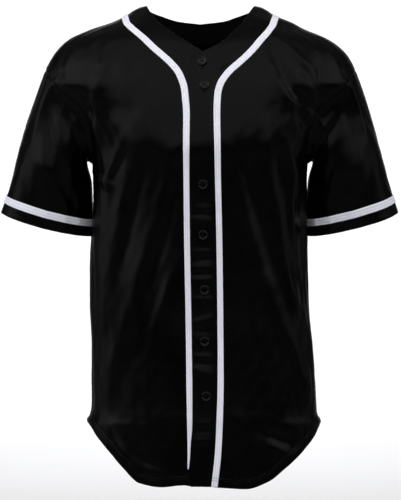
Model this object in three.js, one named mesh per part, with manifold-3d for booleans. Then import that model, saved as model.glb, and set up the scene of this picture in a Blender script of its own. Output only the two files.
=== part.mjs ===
// Baseball jersey in its worn shape, hollow and open at the neck, hem and cuffs.
// Millimetres, +Z up, the front faces -Y and +X is the wearer's left.
// The origin lies midway between the two neck points, where the shoulders hold it.
import * as THREE from "three";
import { mergeVertices } from "three/addons/utils/BufferGeometryUtils.js";
import Module from "manifold-3d";

// Driving dimensions
const WALL = 2;
const SEAM_GAP = 0.4;
const LAY_GAP = 0.8;
const BRAID_WIDTH = 10.5;
const BRAID_THICK = 1.2;
const BUTTON_RADIUS = 7.4;
const BUTTON_HEIGHT = 2.8;
const PLACKET_LIFT = WALL + LAY_GAP;
const SHOULDER_Z = -97;
const UNDERARM_Z = -246;
const BRAID_SHOULDER_Z = -15;
const SIDE_ANGLE = Math.PI / 2;

const BRAID_CLEAR = 0.7;
const BRAID_TIP = 1.2;
const BRAID_END_RISE = 1;
const BUTTON_ROUND = 0.7;
const BUTTON_RIM = 2;
const BUTTON_DISH = 0.9;
const BUTTON_SIDES = 18;
const BUTTON_HOLE = 0.9;
const BUTTON_HOLE_PLACE = 1.5;

// Counts of grid steps, and where the band's columns and its lift lie from seam to free edge
const PANEL_COLUMNS = 12;
const BACK_COLUMNS = 28;
const SHOULDER_STEPS = 6;
const BAND_SHARES = [0, 0.15, 0.28, 0.64, 1];
const BACK_BAND_SHARES = [0, 0.2, 0.6, 1];
const LIFT_FROM = 0.14;
const LIFT_TO = 0.28;
const ARMHOLE_STEPS = 16;
const ARMHOLE_SAMPLES = 400;
const SIDE_STEPS = 16;

function table(names, rows) {
  const keys = names.split(" ");
  return rows.map((row) => Object.fromEntries(keys.map((key, i) => [key, row[i]])));
}

// Rings of the body: centre across, half width, y of the widest place, y of front and back,
// and how square each one is.
const RINGS = table("z centre side middle front back square", [
  [0, 0, 83, 0, -42, 44, 3.0],
  [-1.5, 0, 93, 0, -44, 46, 3.0],
  [-3, 0, 97, 0, -46, 48, 3.0],
  [-8, 0, 106, 0, -51, 54, 3.0],
  [-15, 0, 116, 0, -58, 61, 2.9],
  [-26, 2, 140, 0, -67, 73, 2.9],
  [-39, -4, 171, 0, -77, 84, 2.8],
  [-51, -3, 199, 0, -86, 94, 2.8],
  [-64, -1, 217, 0, -95, 102, 2.7],
  [-80, 0, 231, 0, -103, 110, 2.6],
  [-97, 0, 240, 0, -111, 118, 2.5],
  [-110, 0, 245, 0, -116, 123, 2.4],
  [-122, 0, 247, 0, -120, 127, 2.4],
  [-145, 0, 226, 0, -126, 133, 2.4],
  [-165, 0, 203, 0, -130, 136, 2.4],
  [-192, 0, 186, -4, -133, 138, 2.4],
  [-223, 0, 172, -10, -134, 137, 2.4],
  [-246, -1, 167, -14, -132, 135, 2.4],
  [-300, -1, 165, -20, -127, 130, 2.4],
  [-357, -2, 167, -20, -123, 125, 2.4],
  [-395, -3, 168, -20, -121, 122, 2.4],
  [-457, -2, 169, -18, -120, 121, 2.4],
  [-519, 2, 170, -16, -121, 123, 2.4],
  [-582, 4, 173, -15, -123, 126, 2.4],
  [-620, 5, 174, -15, -125, 128, 2.4],
  [-634, 5, 176, -15, -126, 129, 2.4],
  [-643, 5, 181, -15, -126, 129, 2.4],
  [-700, 5, 183, -14, -128, 131, 2.4],
  [-745, 5, 184, -14, -129, 132, 2.4],
]);

// Front and back hems: height at each angle from the centre, for the wearer's right and left.
const HEM = table("angle right left back", [
  [0, -733, -735, -744],
  [10, -733, -737, -743],
  [20, -736, -739, -740],
  [30, -731, -729, -730],
  [40, -706, -708, -708],
  [50, -680, -688, -685],
  [60, -661, -670, -666],
  [70, -648, -652, -650],
  [80, -642, -645, -644],
  [90, -640, -643, -642],
]);

// Front edges of the wearer's left: the braided seam, and the neck edge with the free edge.
const LEFT_EDGES = table("seamX seamZ edgeX edgeZ lift steps", [
  [116, -15, 83, 0, 0, 1],
  [116, -17.5, 83, -1, 0, 2],
  [112, -31, 81, -4, 0, 1],
  [104, -45, 72, -18, 0, 1],
  [93, -58, 63, -32, 0, 1],
  [82, -72, 50, -45, 0, 1],
  [70, -85, 37, -59, 0.2, 1],
  [56, -98, 17, -72, 0.8, 1],
  [46, -107, 4, -79, 1, 1],
  [38, -116, -13.5, -90, 1, 1],
  [30, -129, -15, -110, 1, 1],
  [26, -144, -15.4, -135, 1, 1],
  [24.5, -177, -15, -177, 1, 3],
  [25.6, -262, -15, -262, 1, 3],
  [27.8, -358, -13.5, -358, 1, 4],
  [29.4, -478, -12.8, -478, 1, 3],
  [30, -575, -11.3, -575, 1, 2],
  [28.6, -635, -11.3, -635, 1, 2],
  [26.3, -683, -15, -683, 1, 2],
  [20.6, -735.5, -20.3, -733.5, 1, 0],
]);

// Front edges of the wearer's right, whose band lies under the other from the V point down.
const RIGHT_EDGES = table("seamX seamZ edgeX edgeZ steps", [
  [-116, -15, -83, 0, 1],
  [-116.5, -17.5, -82.5, -2, 2],
  [-113, -31, -78, -11, 1],
  [-100, -45, -68, -25, 1],
  [-85.5, -58, -57.5, -36, 1],
  [-71.5, -72, -44.5, -45.5, 1],
  [-57, -85, -30, -56, 1],
  [-44, -97.5, -15, -66, 1],
  [-34, -110, 4, -79, 1],
  [-28.5, -122, 12, -91, 1],
  [-24.5, -135, 12.5, -110, 1],
  [-22.5, -153, 12.5, -140, 1],
  [-21, -177, 12.5, -177, 3],
  [-21.8, -262, 12.5, -262, 3],
  [-21, -358, 12.5, -358, 4],
  [-18.8, -478, 12.5, -478, 3],
  [-17.3, -575, 12.5, -575, 2],
  [-15.8, -635, 12.5, -635, 2],
  [-15, -683, 11, -683, 2],
  [-15, -735, 7, -735, 0],
]);

// Back neck: the neck edge and the braided seam below it, from the shoulder to the centre.
const BACK_NECK = table("edgeX edgeZ seamX seamZ", [
  [83, 0, 116, -15],
  [82, -1.5, 113, -20],
  [74, -5, 98, -32],
  [58, -10, 76, -42],
  [36, -16, 46, -50],
  [0, -20, 0, -54],
]);

// Armhole: how far round from the centre it lies at each height, in front and behind.
const ARMHOLE = table("z front back", [
  [-97, 90, 90],
  [-110, 68, 70],
  [-123, 61.5, 64],
  [-145, 59, 61.5],
  [-164, 58, 61],
  [-192, 61, 64],
  [-223, 69.5, 71],
  [-238, 77, 78],
  [-246, 90, 90],
]);

// Sleeve sections below the armhole, for the wearer's left: centre, half sizes and slants.
const SLEEVE = table("t x y z outward deep slant pitch", [
  [0.4, 226.5, 14, -256, 62, 68, 18, 3],
  [0.7, 231, 22, -297, 68, 62, 16, 6],
  [1, 237.5, 28, -337, 75, 56, 14, 10],
]);
const SLEEVE_LEVELS = [0, 0.05, 0.11, 0.18, 0.26, 0.35, 0.45, 0.56, 0.68, 0.804, 0.885, 1];
const BRAID_TOP_LEVEL = 9;
const SLEEVE_START_TOP = 100;
const SLEEVE_START_UNDER = 46;
const UNDERARM_SPREAD = 48;
const RIGHT_SLEEVE_SHIFT = 2.5;

// Largest folds seen from the front, as lines with a half width and a height off the cloth.
const FRONT_FOLDS = table("x0 z0 x1 z1 bow width height", [
  [-171, -137, -168, -205, 0, 9, -3.5],
  [-148, -100, -160, -210, 8, 11, 3.5],
  [-120, -222, -142, -272, 0, 9, 3],
  [-103, -225, -136, -400, 0, 11, 4],
  [-82, -240, -118, -400, 0, 11, -3.5],
  [-40, -235, -129, -545, 0, 12, 4.5],
  [-40, -300, -76, -440, 0, 9, -3],
  [-40, -400, -66, -490, 0, 10, 3],
  [-131, -665, -108, -704, 0, 9, 2.5],
  [111, -66, 176, -170, 14, 10, -4],
  [120, -54, 168, -108, 0, 8, 3],
  [112, -104, 174, -176, 12, 9, 2.5],
  [180, -92, 182, -156, 0, 8, -2.5],
  [146, -152, 170, -216, 0, 9, -3.5],
  [50, -240, 105, -454, 0, 12, 3.5],
  [56, -236, 99, -397, -8, 11, -4],
  [100, -225, 148, -460, 6, 10, 3.5],
  [118, -228, 150, -450, 4, 9, -3],
  [129, -223, 157, -300, 0, 10, 3.5],
  [102, -436, 172, -615, 0, 12, 4.5],
  [143, -445, 169, -580, -7, 9, 3.5],
  [97, -656, 140, -675, 0, 9, -3],
]);

// Folds of the back, seen from behind but in the same x and z.
const BACK_FOLDS = table("x0 z0 x1 z1 bow width height", [
  [-70, -120, 60, -112, 10, 16, -3],
  [150, -150, 96, -330, 10, 13, 4],
  [118, -210, 40, -520, 12, 14, 4.5],
  [64, -300, 10, -640, 8, 12, -3.5],
  [-146, -165, -108, -350, -8, 12, 4],
  [-112, -230, -58, -560, -12, 14, 4.5],
  [-74, -380, -88, -690, 0, 12, -3.5],
  [128, -430, 142, -650, 0, 12, 3],
]);

// Folds of the sleeves, by the half width and height of their ends, for each side of the cloth.
const LEFT_SLEEVE_FOLDS = table("x0 z0 x1 z1 bow width height side", [
  [206, -164, 180, -206, 0, 8, 3.5, -1],
  [218, -156, 180, -222, -5, 9, -4, -1],
  [219, -168, 191, -264, 0, 10, 3.5, -1],
  [234, -180, 222, -300, 0, 11, -3, -1],
  [248, -200, 238, -310, 0, 11, 2.5, -1],
  [226, -150, 190, -240, 0, 11, -3, 1],
  [252, -180, 258, -300, 0, 12, 3, 1],
]);
const RIGHT_SLEEVE_FOLDS = table("x0 z0 x1 z1 bow width height side", [
  [204, -168, 173, -216, 0, 8, 3.5, -1],
  [214, -158, 180, -224, 0, 9, -3.5, -1],
  [224, -172, 189, -302, 0, 10, 3, -1],
  [234, -180, 199, -310, -4, 9, -3, -1],
  [224, -146, 192, -236, 0, 11, -3, 1],
  [250, -176, 262, -306, 0, 12, 3, 1],
]);

// Buttons down the top band, at the places where they are sewn.
const BUTTONS = table("x z", [
  [2.7, -95],
  [5.9, -131],
  [3.6, -280],
  [3.9, -356],
  [6, -439],
  [6.3, -517],
  [8.6, -599],
]);

// Finishes
const CLOTH = { color: 0x101114, roughness: 0.62, metalness: 0 };
const BRAID = { color: 0xe4e4f0, roughness: 0.7, metalness: 0 };
const BUTTON = { color: 0x0b0b0d, roughness: 0.35, metalness: 0 };

// Weights of the start, its slope, the end and its slope along a cubic.
function hermite(s) {
  return [2 * s ** 3 - 3 * s ** 2 + 1, s ** 3 - 2 * s ** 2 + s, 3 * s ** 2 - 2 * s ** 3, s ** 3 - s ** 2];
}

// Curve through rows that never overshoots them.
function through(rows, from, to) {
  const points = rows.map((row) => [row[from], row[to]]).sort((a, b) => a[0] - b[0]);
  const slopes = points.slice(1).map((p, i) => (p[1] - points[i][1]) / (p[0] - points[i][0]));
  const tangents = points.map((p, i) => {
    const before = slopes[Math.max(i - 1, 0)];
    const after = slopes[Math.min(i, slopes.length - 1)];
    return before * after <= 0 ? 0 : (2 * before * after) / (before + after);
  });
  return (at) => {
    const x = THREE.MathUtils.clamp(at, points[0][0], points[points.length - 1][0]);
    const found = points.findIndex((p) => x <= p[0]);
    const i = Math.max(found - 1, 0);
    const width = points[i + 1][0] - points[i][0];
    const [start, leave, end, arrive] = hermite((x - points[i][0]) / width);
    const ends = start * points[i][1] + end * points[i + 1][1];
    return ends + width * (leave * tangents[i] + arrive * tangents[i + 1]);
  };
}

const ring = Object.fromEntries(
  ["centre", "side", "middle", "front", "back", "square"].map((key) => [key, through(RINGS, "z", key)]),
);

// Height of every fold at one place, each fading at its ends and sides.
function foldHeight(folds, x, z) {
  let height = 0;
  for (const fold of folds) {
    const dx = fold.x1 - fold.x0;
    const dz = fold.z1 - fold.z0;
    const length = Math.hypot(dx, dz);
    const along = ((x - fold.x0) * dx + (z - fold.z0) * dz) / length ** 2;
    const held = THREE.MathUtils.clamp(along, 0, 1);
    const across = ((x - fold.x0) * dz - (z - fold.z0) * dx) / length - 4 * fold.bow * held * (1 - held);
    const past = (along - held) * length;
    const fade = Math.sin(Math.PI * (0.12 + 0.76 * held)) ** 0.8;
    height += fold.height * fade * Math.exp(-((across / fold.width) ** 2) - (past / (2 * fold.width)) ** 2);
  }
  return height;
}

// Body surface by the angle from the centre front and the height.
function bodyPoint(angle, z) {
  const sine = Math.sin(angle);
  const cosine = Math.cos(angle);
  const n = ring.square(z);
  const reach = (Math.abs(sine) ** n + Math.abs(cosine) ** n) ** (-1 / n);
  const middle = ring.middle(z);
  const depth = cosine > 0 ? middle - ring.front(z) : ring.back(z) - middle;
  const x = ring.centre(z) + ring.side(z) * sine * reach;
  return new THREE.Vector3(x, middle - depth * cosine * reach, z);
}

// Angle at which the body is x wide at a height, on the front or the back.
function angleAt(x, z, behind = false) {
  const share = THREE.MathUtils.clamp((x - ring.centre(z)) / ring.side(z), -1, 1);
  const n = ring.square(z);
  const depth = Math.max(1 - Math.abs(share) ** n, 0) ** (1 / n);
  return Math.atan2(share, behind ? -depth : depth);
}

// Point and outward normal of the cloth, with its folds.
function cloth(angle, z) {
  const step = 0.004;
  const across = bodyPoint(angle + step, z).sub(bodyPoint(angle - step, z));
  const up = bodyPoint(angle, z + 0.5).sub(bodyPoint(angle, z - 0.5));
  const normal = across.cross(up).normalize();
  const point = bodyPoint(angle, z);
  const facing = Math.cos(angle);
  const folds = facing > 0 ? FRONT_FOLDS : BACK_FOLDS;
  const fade = THREE.MathUtils.smoothstep(Math.abs(facing), 0, 0.35);
  point.addScaledVector(normal, foldHeight(folds, point.x, z) * fade);
  return { point, normal };
}

// Closed wall from a grid of points and normals: grid[i][j], open or closed round i.
function wallGeometry(grid, closed, thickness = WALL, inset = 0) {
  const columns = grid.length;
  const rows = grid[0].length;
  const vertices = [];
  for (const depth of [inset, inset - thickness]) {
    for (const column of grid) {
      for (const { point, normal } of column) vertices.push(point.clone().addScaledVector(normal, depth));
    }
  }
  const index = (i, j, layer) => layer * columns * rows + (i % columns) * rows + j;
  const faces = [];
  const quad = (a, b, c, d) => faces.push([a, b, c], [a, c, d]);
  const spans = closed ? columns : columns - 1;
  for (let i = 0; i < spans; i += 1) {
    for (let j = 0; j < rows - 1; j += 1) {
      quad(index(i, j, 0), index(i + 1, j, 0), index(i + 1, j + 1, 0), index(i, j + 1, 0));
      quad(index(i, j, 1), index(i, j + 1, 1), index(i + 1, j + 1, 1), index(i + 1, j, 1));
    }
    quad(index(i, 0, 0), index(i, 0, 1), index(i + 1, 0, 1), index(i + 1, 0, 0));
    quad(index(i, rows - 1, 0), index(i + 1, rows - 1, 0), index(i + 1, rows - 1, 1), index(i, rows - 1, 1));
  }
  for (let j = 0; j < rows - 1 && !closed; j += 1) {
    quad(index(0, j, 0), index(0, j + 1, 0), index(0, j + 1, 1), index(0, j, 1));
    quad(index(spans, j, 0), index(spans, j, 1), index(spans, j + 1, 1), index(spans, j + 1, 0));
  }
  let volume = 0;
  for (const [a, b, c] of faces) volume += vertices[a].dot(vertices[b].clone().cross(vertices[c]));
  const geometry = new THREE.BufferGeometry().setFromPoints(vertices);
  geometry.setIndex(faces.flatMap(([a, b, c]) => (volume > 0 ? [a, b, c] : [a, c, b])));
  return geometry;
}

// Draws the four edges of a grid in by half a seam gap.
function parted(grid) {
  const last = grid.length - 1;
  const top = grid[0].length - 1;
  const moved = grid.map((column) => column.map((spot) => spot.point.clone()));
  const pull = (i, j, k, l) => {
    const towards = grid[k][l].point.clone().sub(grid[i][j].point).normalize();
    moved[i][j].addScaledVector(towards, SEAM_GAP / 2);
  };
  for (let j = 0; j <= top; j += 1) {
    pull(0, j, 1, j);
    pull(last, j, last - 1, j);
  }
  for (let i = 0; i <= last; i += 1) {
    pull(i, 0, i, 1);
    pull(i, top, i, top - 1);
  }
  return grid.map((column, i) => column.map(({ normal }, j) => ({ point: moved[i][j], normal })));
}

// Places down a front, from the shoulder to the hem, with the steps that each row asks for.
function edgeStations(edges) {
  const stations = [];
  edges.slice(0, -1).forEach((row, i) => {
    for (let k = 0; k < row.steps; k += 1) stations.push(i + k / row.steps);
  });
  stations.push(edges.length - 1);
  const numbered = edges.map((row, i) => ({ ...row, i }));
  const keys = Object.keys(edges[0]);
  const curves = Object.fromEntries(keys.map((key) => [key, through(numbered, "i", key)]));
  return stations.map((at) => Object.fromEntries(keys.map((key) => [key, curves[key](at)])));
}

// Armhole seam as angle and height, from the shoulder point to the underarm.
function armhole(sign, behind) {
  const round = through(ARMHOLE, "z", behind ? "back" : "front");
  const places = span(SHOULDER_Z, UNDERARM_Z, ARMHOLE_SAMPLES).map((z) => {
    const angle = THREE.MathUtils.degToRad(round(z));
    return [sign * (behind ? Math.PI - angle : angle), z];
  });
  const spots = places.map(([angle, z]) => bodyPoint(angle, z));
  const run = [0];
  spots.slice(1).forEach((spot, i) => run.push(run[i] + spot.distanceTo(spots[i])));
  const total = run[run.length - 1];
  return Array.from({ length: ARMHOLE_STEPS + 1 }, (_, step) => {
    const at = run.findIndex((length) => length >= (total * step) / ARMHOLE_STEPS - 1e-9);
    return places[at];
  });
}

// Grid over a patch whose four edges are lists of angle and height.
function patchGrid(bottom, top, left, right) {
  const columns = bottom.length - 1;
  const rows = left.length - 1;
  const mix = (i, j, k) => {
    const u = i / columns;
    const v = j / rows;
    const across = (1 - u) * left[j][k] + u * right[j][k];
    const along = (1 - v) * bottom[i][k] + v * top[i][k];
    const low = (1 - u) * bottom[0][k] + u * bottom[columns][k];
    const high = (1 - u) * top[0][k] + u * top[columns][k];
    return across + along - (1 - v) * low - v * high;
  };
  return bottom.map((_, i) => left.map((__, j) => cloth(mix(i, j, 0), mix(i, j, 1))));
}

function span(from, to, steps) {
  return Array.from({ length: steps + 1 }, (_, i) => from + ((to - from) * i) / steps);
}

// Side seam from the hem up, then the armhole up to the shoulder point.
function sideEdge(sign, behind, hemZ) {
  const seam = span(hemZ, UNDERARM_Z, SIDE_STEPS).slice(0, -1);
  const hole = armhole(sign, behind).reverse();
  const turn = (angle) => (angle < 0 && behind ? angle + 2 * Math.PI : angle);
  return [...seam.map((z) => [turn(sign * SIDE_ANGLE), z]), ...hole.map(([angle, z]) => [turn(angle), z])];
}

function frontPanel(sign, edges, hemKey) {
  const hem = through(HEM, "angle", hemKey);
  const seam = edgeStations(edges).reverse();
  const left = seam.map(({ seamX, seamZ }) => [angleAt(seamX, seamZ), seamZ]);
  left[left.length - 1] = [sign * SIDE_ANGLE, BRAID_SHOULDER_Z];
  const right = sideEdge(sign, false, hem(90));
  const bottom = span(left[0][0], sign * SIDE_ANGLE, PANEL_COLUMNS).map((angle) => {
    return [angle, hem(THREE.MathUtils.radToDeg(Math.abs(angle)))];
  });
  left[0] = bottom[0];
  const top = span(BRAID_SHOULDER_Z, SHOULDER_Z, PANEL_COLUMNS).map((z) => [sign * SIDE_ANGLE, z]);
  return patchGrid(bottom, top, left, right);
}

// Back neck edge or seam as angle and height, from the wearer's left shoulder to the right one.
function backNeck(xKey, zKey, steps) {
  const numbered = BACK_NECK.map((row, i) => ({ ...row, i }));
  const xAt = through(numbered, "i", xKey);
  const zAt = through(numbered, "i", zKey);
  const half = BACK_NECK.length - 1;
  return span(0, 2 * half, steps).map((at, i) => {
    const place = Math.min(at, 2 * half - at);
    const sign = at <= half ? 1 : -1;
    if (i === 0) return [SIDE_ANGLE, zAt(place)];
    if (i === steps) return [3 * SIDE_ANGLE, zAt(place)];
    const angle = angleAt(sign * xAt(place), zAt(place), true);
    return [angle < 0 ? angle + 2 * Math.PI : angle, zAt(place)];
  });
}

function backPanel() {
  const hem = through(HEM, "angle", "back");
  const bottom = span(SIDE_ANGLE, 3 * SIDE_ANGLE, BACK_COLUMNS).map((angle) => {
    return [angle, hem(THREE.MathUtils.radToDeg(Math.abs(Math.PI - angle)))];
  });
  const shoulder = (angle, from, to) => span(from, to, SHOULDER_STEPS).map((z) => [angle, z]);
  const neck = backNeck("seamX", "seamZ", BACK_COLUMNS - 2 * SHOULDER_STEPS);
  const top = [
    ...shoulder(SIDE_ANGLE, SHOULDER_Z, BRAID_SHOULDER_Z).slice(0, -1),
    ...neck,
    ...shoulder(3 * SIDE_ANGLE, BRAID_SHOULDER_Z, SHOULDER_Z).slice(1),
  ];
  return patchGrid(bottom, top, sideEdge(1, true, hem(90)), sideEdge(-1, true, hem(90)));
}

// Band between two edges: the columns run from the braided seam to the free edge.
function bandGrid(edges, sign) {
  return BAND_SHARES.map((share) => edgeStations(edges).reverse().map((row, j, all) => {
    const atShoulder = j === all.length - 1;
    const z = THREE.MathUtils.lerp(row.seamZ, row.edgeZ, share);
    const x = THREE.MathUtils.lerp(row.seamX, row.edgeX, share);
    const spot = cloth(atShoulder ? sign * SIDE_ANGLE : angleAt(x, z), z);
    const lifted = PLACKET_LIFT * (row.lift ?? 0) * THREE.MathUtils.smoothstep(share, LIFT_FROM, LIFT_TO);
    spot.point.addScaledVector(spot.normal, lifted);
    return spot;
  }));
}

function backBand() {
  const seam = backNeck("seamX", "seamZ", BACK_COLUMNS - 2 * SHOULDER_STEPS);
  const edge = backNeck("edgeX", "edgeZ", BACK_COLUMNS - 2 * SHOULDER_STEPS);
  return seam.map(([angle, z], i) => BACK_BAND_SHARES.map((share) => {
    return cloth(THREE.MathUtils.lerp(angle, edge[i][0], share), THREE.MathUtils.lerp(z, edge[i][1], share));
  }));
}

// Strip along a line of spots, reaching sideways by two widths that may change on the way.
function stripGrid(spots, before, after) {
  return [-1, 1].map((side) => spots.map((spot, i) => {
    const ahead = spots[Math.min(i + 1, spots.length - 1)].point;
    const behind = spots[Math.max(i - 1, 0)].point;
    const across = spot.normal.clone().cross(ahead.clone().sub(behind)).normalize();
    const reach = side < 0 ? before(spot.point.z) : after(spot.point.z);
    return { point: spot.point.clone().addScaledVector(across, side * reach), normal: spot.normal };
  }));
}

// Braid over the seam of a front: its inner side stops at the free edge where that would cover it.
function frontBraid(edges, sign, hemKey) {
  const hem = through(HEM, "angle", hemKey);
  const stations = edgeStations(edges);
  const spots = stations.map(({ seamX, seamZ }, i) => {
    return cloth(i === 0 ? sign * SIDE_ANGLE : angleAt(seamX, seamZ), seamZ);
  });
  spots[spots.length - 1] = cloth(angleAt(edges[edges.length - 1].seamX, hem(6)), hem(6) + BRAID_END_RISE);
  const half = () => BRAID_WIDTH / 2;
  if (sign > 0) return stripGrid(spots, half, half);
  const freeEdge = through(LEFT_EDGES, "edgeZ", "edgeX");
  const seam = through(RIGHT_EDGES, "seamZ", "seamX");
  const inner = (z) => Math.min(BRAID_WIDTH / 2, freeEdge(z) - seam(z) - BRAID_CLEAR);
  const shown = spots.filter(({ point }) => inner(point.z) + BRAID_WIDTH / 2 > BRAID_TIP);
  return stripGrid(shown, half, inner);
}

// Smooth sleeve section below the armhole: a slanted oval at a level along the sleeve.
const section = Object.fromEntries(
  ["x", "y", "z", "outward", "deep", "slant", "pitch"].map((key) => [key, through(SLEEVE, "t", key)]),
);

function sleeveSection(sign, level, turn) {
  const slant = THREE.MathUtils.degToRad(section.slant(level));
  const outward = section.outward(level) * Math.cos(turn);
  const forward = -section.deep(level) * Math.sin(turn);
  const lower = Math.tan(THREE.MathUtils.degToRad(section.pitch(level)));
  return new THREE.Vector3(
    sign * (section.x(level) + outward * Math.cos(slant)) - (sign < 0 ? RIGHT_SLEEVE_SHIFT : 0),
    section.y(level) + forward,
    section.z(level) + outward * Math.sin(slant) + forward * lower,
  );
}

// Sleeve from the armhole to the cuff: it leaves the body's cloth smoothly and joins the sections.
function sleeveGrid(sign, folds) {
  const front = armhole(sign, false);
  const back = armhole(sign, true).slice(1, -1).reverse();
  const hole = [...front, ...back].map(([angle, z]) => cloth(angle, z));
  const count = hole.length;
  const join = SLEEVE[0].t;
  const points = hole.map(({ point, normal }, i) => {
    const along = hole[(i + 1) % count].point.clone().sub(hole[(i + count - 1) % count].point);
    const away = normal.clone().cross(along).normalize().multiplyScalar(sign);
    const turn = (2 * Math.PI * i) / count;
    const under = (1 - Math.cos(turn)) / 2;
    const reach = THREE.MathUtils.lerp(SLEEVE_START_TOP, SLEEVE_START_UNDER, under);
    const start = away.clone().multiplyScalar(reach);
    start.x += sign * UNDERARM_SPREAD * under ** 2;
    const seam = point.clone().addScaledVector(away, SEAM_GAP / 2);
    const end = sleeveSection(sign, join, turn);
    const leave = sleeveSection(sign, join + 0.01, turn).sub(end).multiplyScalar(join / 0.01);
    return SLEEVE_LEVELS.map((level) => {
      if (level >= join) return sleeveSection(sign, level, turn);
      const [atSeam, atStart, atEnd, atLeave] = hermite(level / join);
      return seam.clone().multiplyScalar(atSeam)
        .addScaledVector(start, atStart)
        .addScaledVector(end, atEnd)
        .addScaledVector(leave, atLeave);
    });
  });
  const rows = SLEEVE_LEVELS.length;
  return points.map((column, i) => column.map((point, j) => {
    const around = points[(i + 1) % count][j].clone().sub(points[(i + count - 1) % count][j]);
    const down = column[Math.min(j + 1, rows - 1)].clone().sub(column[Math.max(j - 1, 0)]);
    const normal = j === 0 ? hole[i].normal : around.cross(down).normalize().multiplyScalar(sign);
    const facing = -Math.sin((2 * Math.PI * i) / count);
    const own = folds.filter(({ side }) => side * facing > 0);
    const fade = THREE.MathUtils.smoothstep(Math.abs(facing), 0, 0.4);
    const held = THREE.MathUtils.smoothstep(SLEEVE_LEVELS[j], 0, 0.15);
    const height = foldHeight(own, Math.abs(point.x), point.z) * fade * held;
    return { point: point.clone().addScaledVector(normal, height), normal };
  }));
}

// Draws both ends of a strip back, so that it stays clear of the next one.
function shortened(grid, amount) {
  return grid.map((line) => line.map((spot, j) => {
    const next = j === 0 ? line[1] : line[j - 1];
    if (j > 0 && j < line.length - 1) return spot;
    const towards = next.point.clone().sub(spot.point).normalize();
    return { point: spot.point.clone().addScaledVector(towards, amount), normal: spot.normal };
  }));
}

// Solids with holes come from joined and cut closed meshes.
const wasm = await Module();
wasm.setup();

function solid(geometry) {
  const bare = geometry.clone();
  bare.deleteAttribute("normal");
  bare.deleteAttribute("uv");
  const merged = mergeVertices(bare, 1e-4);
  const mesh = new wasm.Mesh({
    numProp: 3,
    vertProperties: new Float32Array(merged.attributes.position.array),
    triVerts: new Uint32Array(merged.index.array),
  });
  return new wasm.Manifold(mesh);
}

// Rimmed button with four holes, its axis along +Y.
function buttonGeometry() {
  const outline = [
    [0, 0],
    [BUTTON_RADIUS - BUTTON_ROUND, 0],
    [BUTTON_RADIUS, BUTTON_ROUND],
    [BUTTON_RADIUS, BUTTON_HEIGHT - BUTTON_ROUND],
    [BUTTON_RADIUS - BUTTON_ROUND, BUTTON_HEIGHT],
    [BUTTON_RADIUS - BUTTON_RIM, BUTTON_HEIGHT],
    [BUTTON_RADIUS - BUTTON_RIM - BUTTON_ROUND, BUTTON_HEIGHT - BUTTON_DISH],
    [0, BUTTON_HEIGHT - BUTTON_DISH],
  ];
  const profile = outline.map(([x, y]) => new THREE.Vector2(x, y));
  let button = solid(new THREE.LatheGeometry(profile, BUTTON_SIDES));
  for (const [x, z] of [[-1, -1], [-1, 1], [1, -1], [1, 1]]) {
    const hole = new THREE.CylinderGeometry(BUTTON_HOLE, BUTTON_HOLE, 3 * BUTTON_HEIGHT, 6);
    hole.translate(x * BUTTON_HOLE_PLACE, 0, z * BUTTON_HOLE_PLACE);
    button = button.subtract(solid(hole));
  }
  const { vertProperties, triVerts } = button.getMesh();
  const geometry = new THREE.BufferGeometry();
  geometry.setAttribute("position", new THREE.BufferAttribute(new Float32Array(vertProperties), 3));
  geometry.setIndex(new THREE.BufferAttribute(new Uint32Array(triVerts), 1));
  return geometry;
}

function buttonMesh({ x, z }, i) {
  const { point, normal } = cloth(angleAt(x, z), z);
  const mesh = new THREE.Mesh(buttonGeometry(), new THREE.MeshStandardMaterial(BUTTON));
  mesh.name = `button_${i + 1}`;
  mesh.position.copy(point).addScaledVector(normal, PLACKET_LIFT + LAY_GAP);
  mesh.quaternion.setFromUnitVectors(new THREE.Vector3(0, 1, 0), normal);
  return mesh;
}

function piece(name, geometry, finish) {
  const mesh = new THREE.Mesh(geometry, new THREE.MeshStandardMaterial(finish));
  mesh.name = name;
  return mesh;
}

function clothPiece(name, grid) {
  return piece(name, wallGeometry(parted(grid), false), CLOTH);
}

function braidPiece(name, grid) {
  return piece(name, wallGeometry(grid, false, BRAID_THICK, LAY_GAP + BRAID_THICK), BRAID);
}

function backNeckBraid() {
  const seam = backNeck("seamX", "seamZ", BACK_COLUMNS - 2 * SHOULDER_STEPS);
  const half = () => BRAID_WIDTH / 2;
  return stripGrid(seam.map(([angle, z]) => cloth(angle, z)), half, half);
}

const jersey = new THREE.Group();
jersey.add(clothPiece("front_panel_left", frontPanel(1, LEFT_EDGES, "left")));
jersey.add(clothPiece("front_panel_right", frontPanel(-1, RIGHT_EDGES, "right")));
jersey.add(clothPiece("front_band_left", bandGrid(LEFT_EDGES, 1)));
jersey.add(clothPiece("front_band_right", bandGrid(RIGHT_EDGES, -1)));
jersey.add(clothPiece("back_panel", backPanel()));
jersey.add(clothPiece("back_neck_band", backBand()));
jersey.add(braidPiece("braid_front_left", shortened(frontBraid(LEFT_EDGES, 1, "left"), BRAID_CLEAR)));
jersey.add(braidPiece("braid_front_right", shortened(frontBraid(RIGHT_EDGES, -1, "right"), BRAID_CLEAR)));
jersey.add(braidPiece("braid_back_neck", shortened(backNeckBraid(), BRAID_CLEAR)));
for (const [name, sign, folds] of [["left", 1, LEFT_SLEEVE_FOLDS], ["right", -1, RIGHT_SLEEVE_FOLDS]]) {
  const grid = sleeveGrid(sign, folds);
  const braid = grid.map((column) => column.slice(BRAID_TOP_LEVEL, BRAID_TOP_LEVEL + 2));
  jersey.add(piece(`sleeve_${name}`, wallGeometry(grid, true), CLOTH));
  const braidWall = wallGeometry(braid, true, BRAID_THICK, LAY_GAP + BRAID_THICK);
  jersey.add(piece(`braid_sleeve_${name}`, braidWall, BRAID));
}
BUTTONS.forEach((row, i) => jersey.add(buttonMesh(row, i)));

export default jersey;
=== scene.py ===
import math

import bmesh
import bpy
import numpy as np
from mathutils import Matrix, Vector


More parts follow.
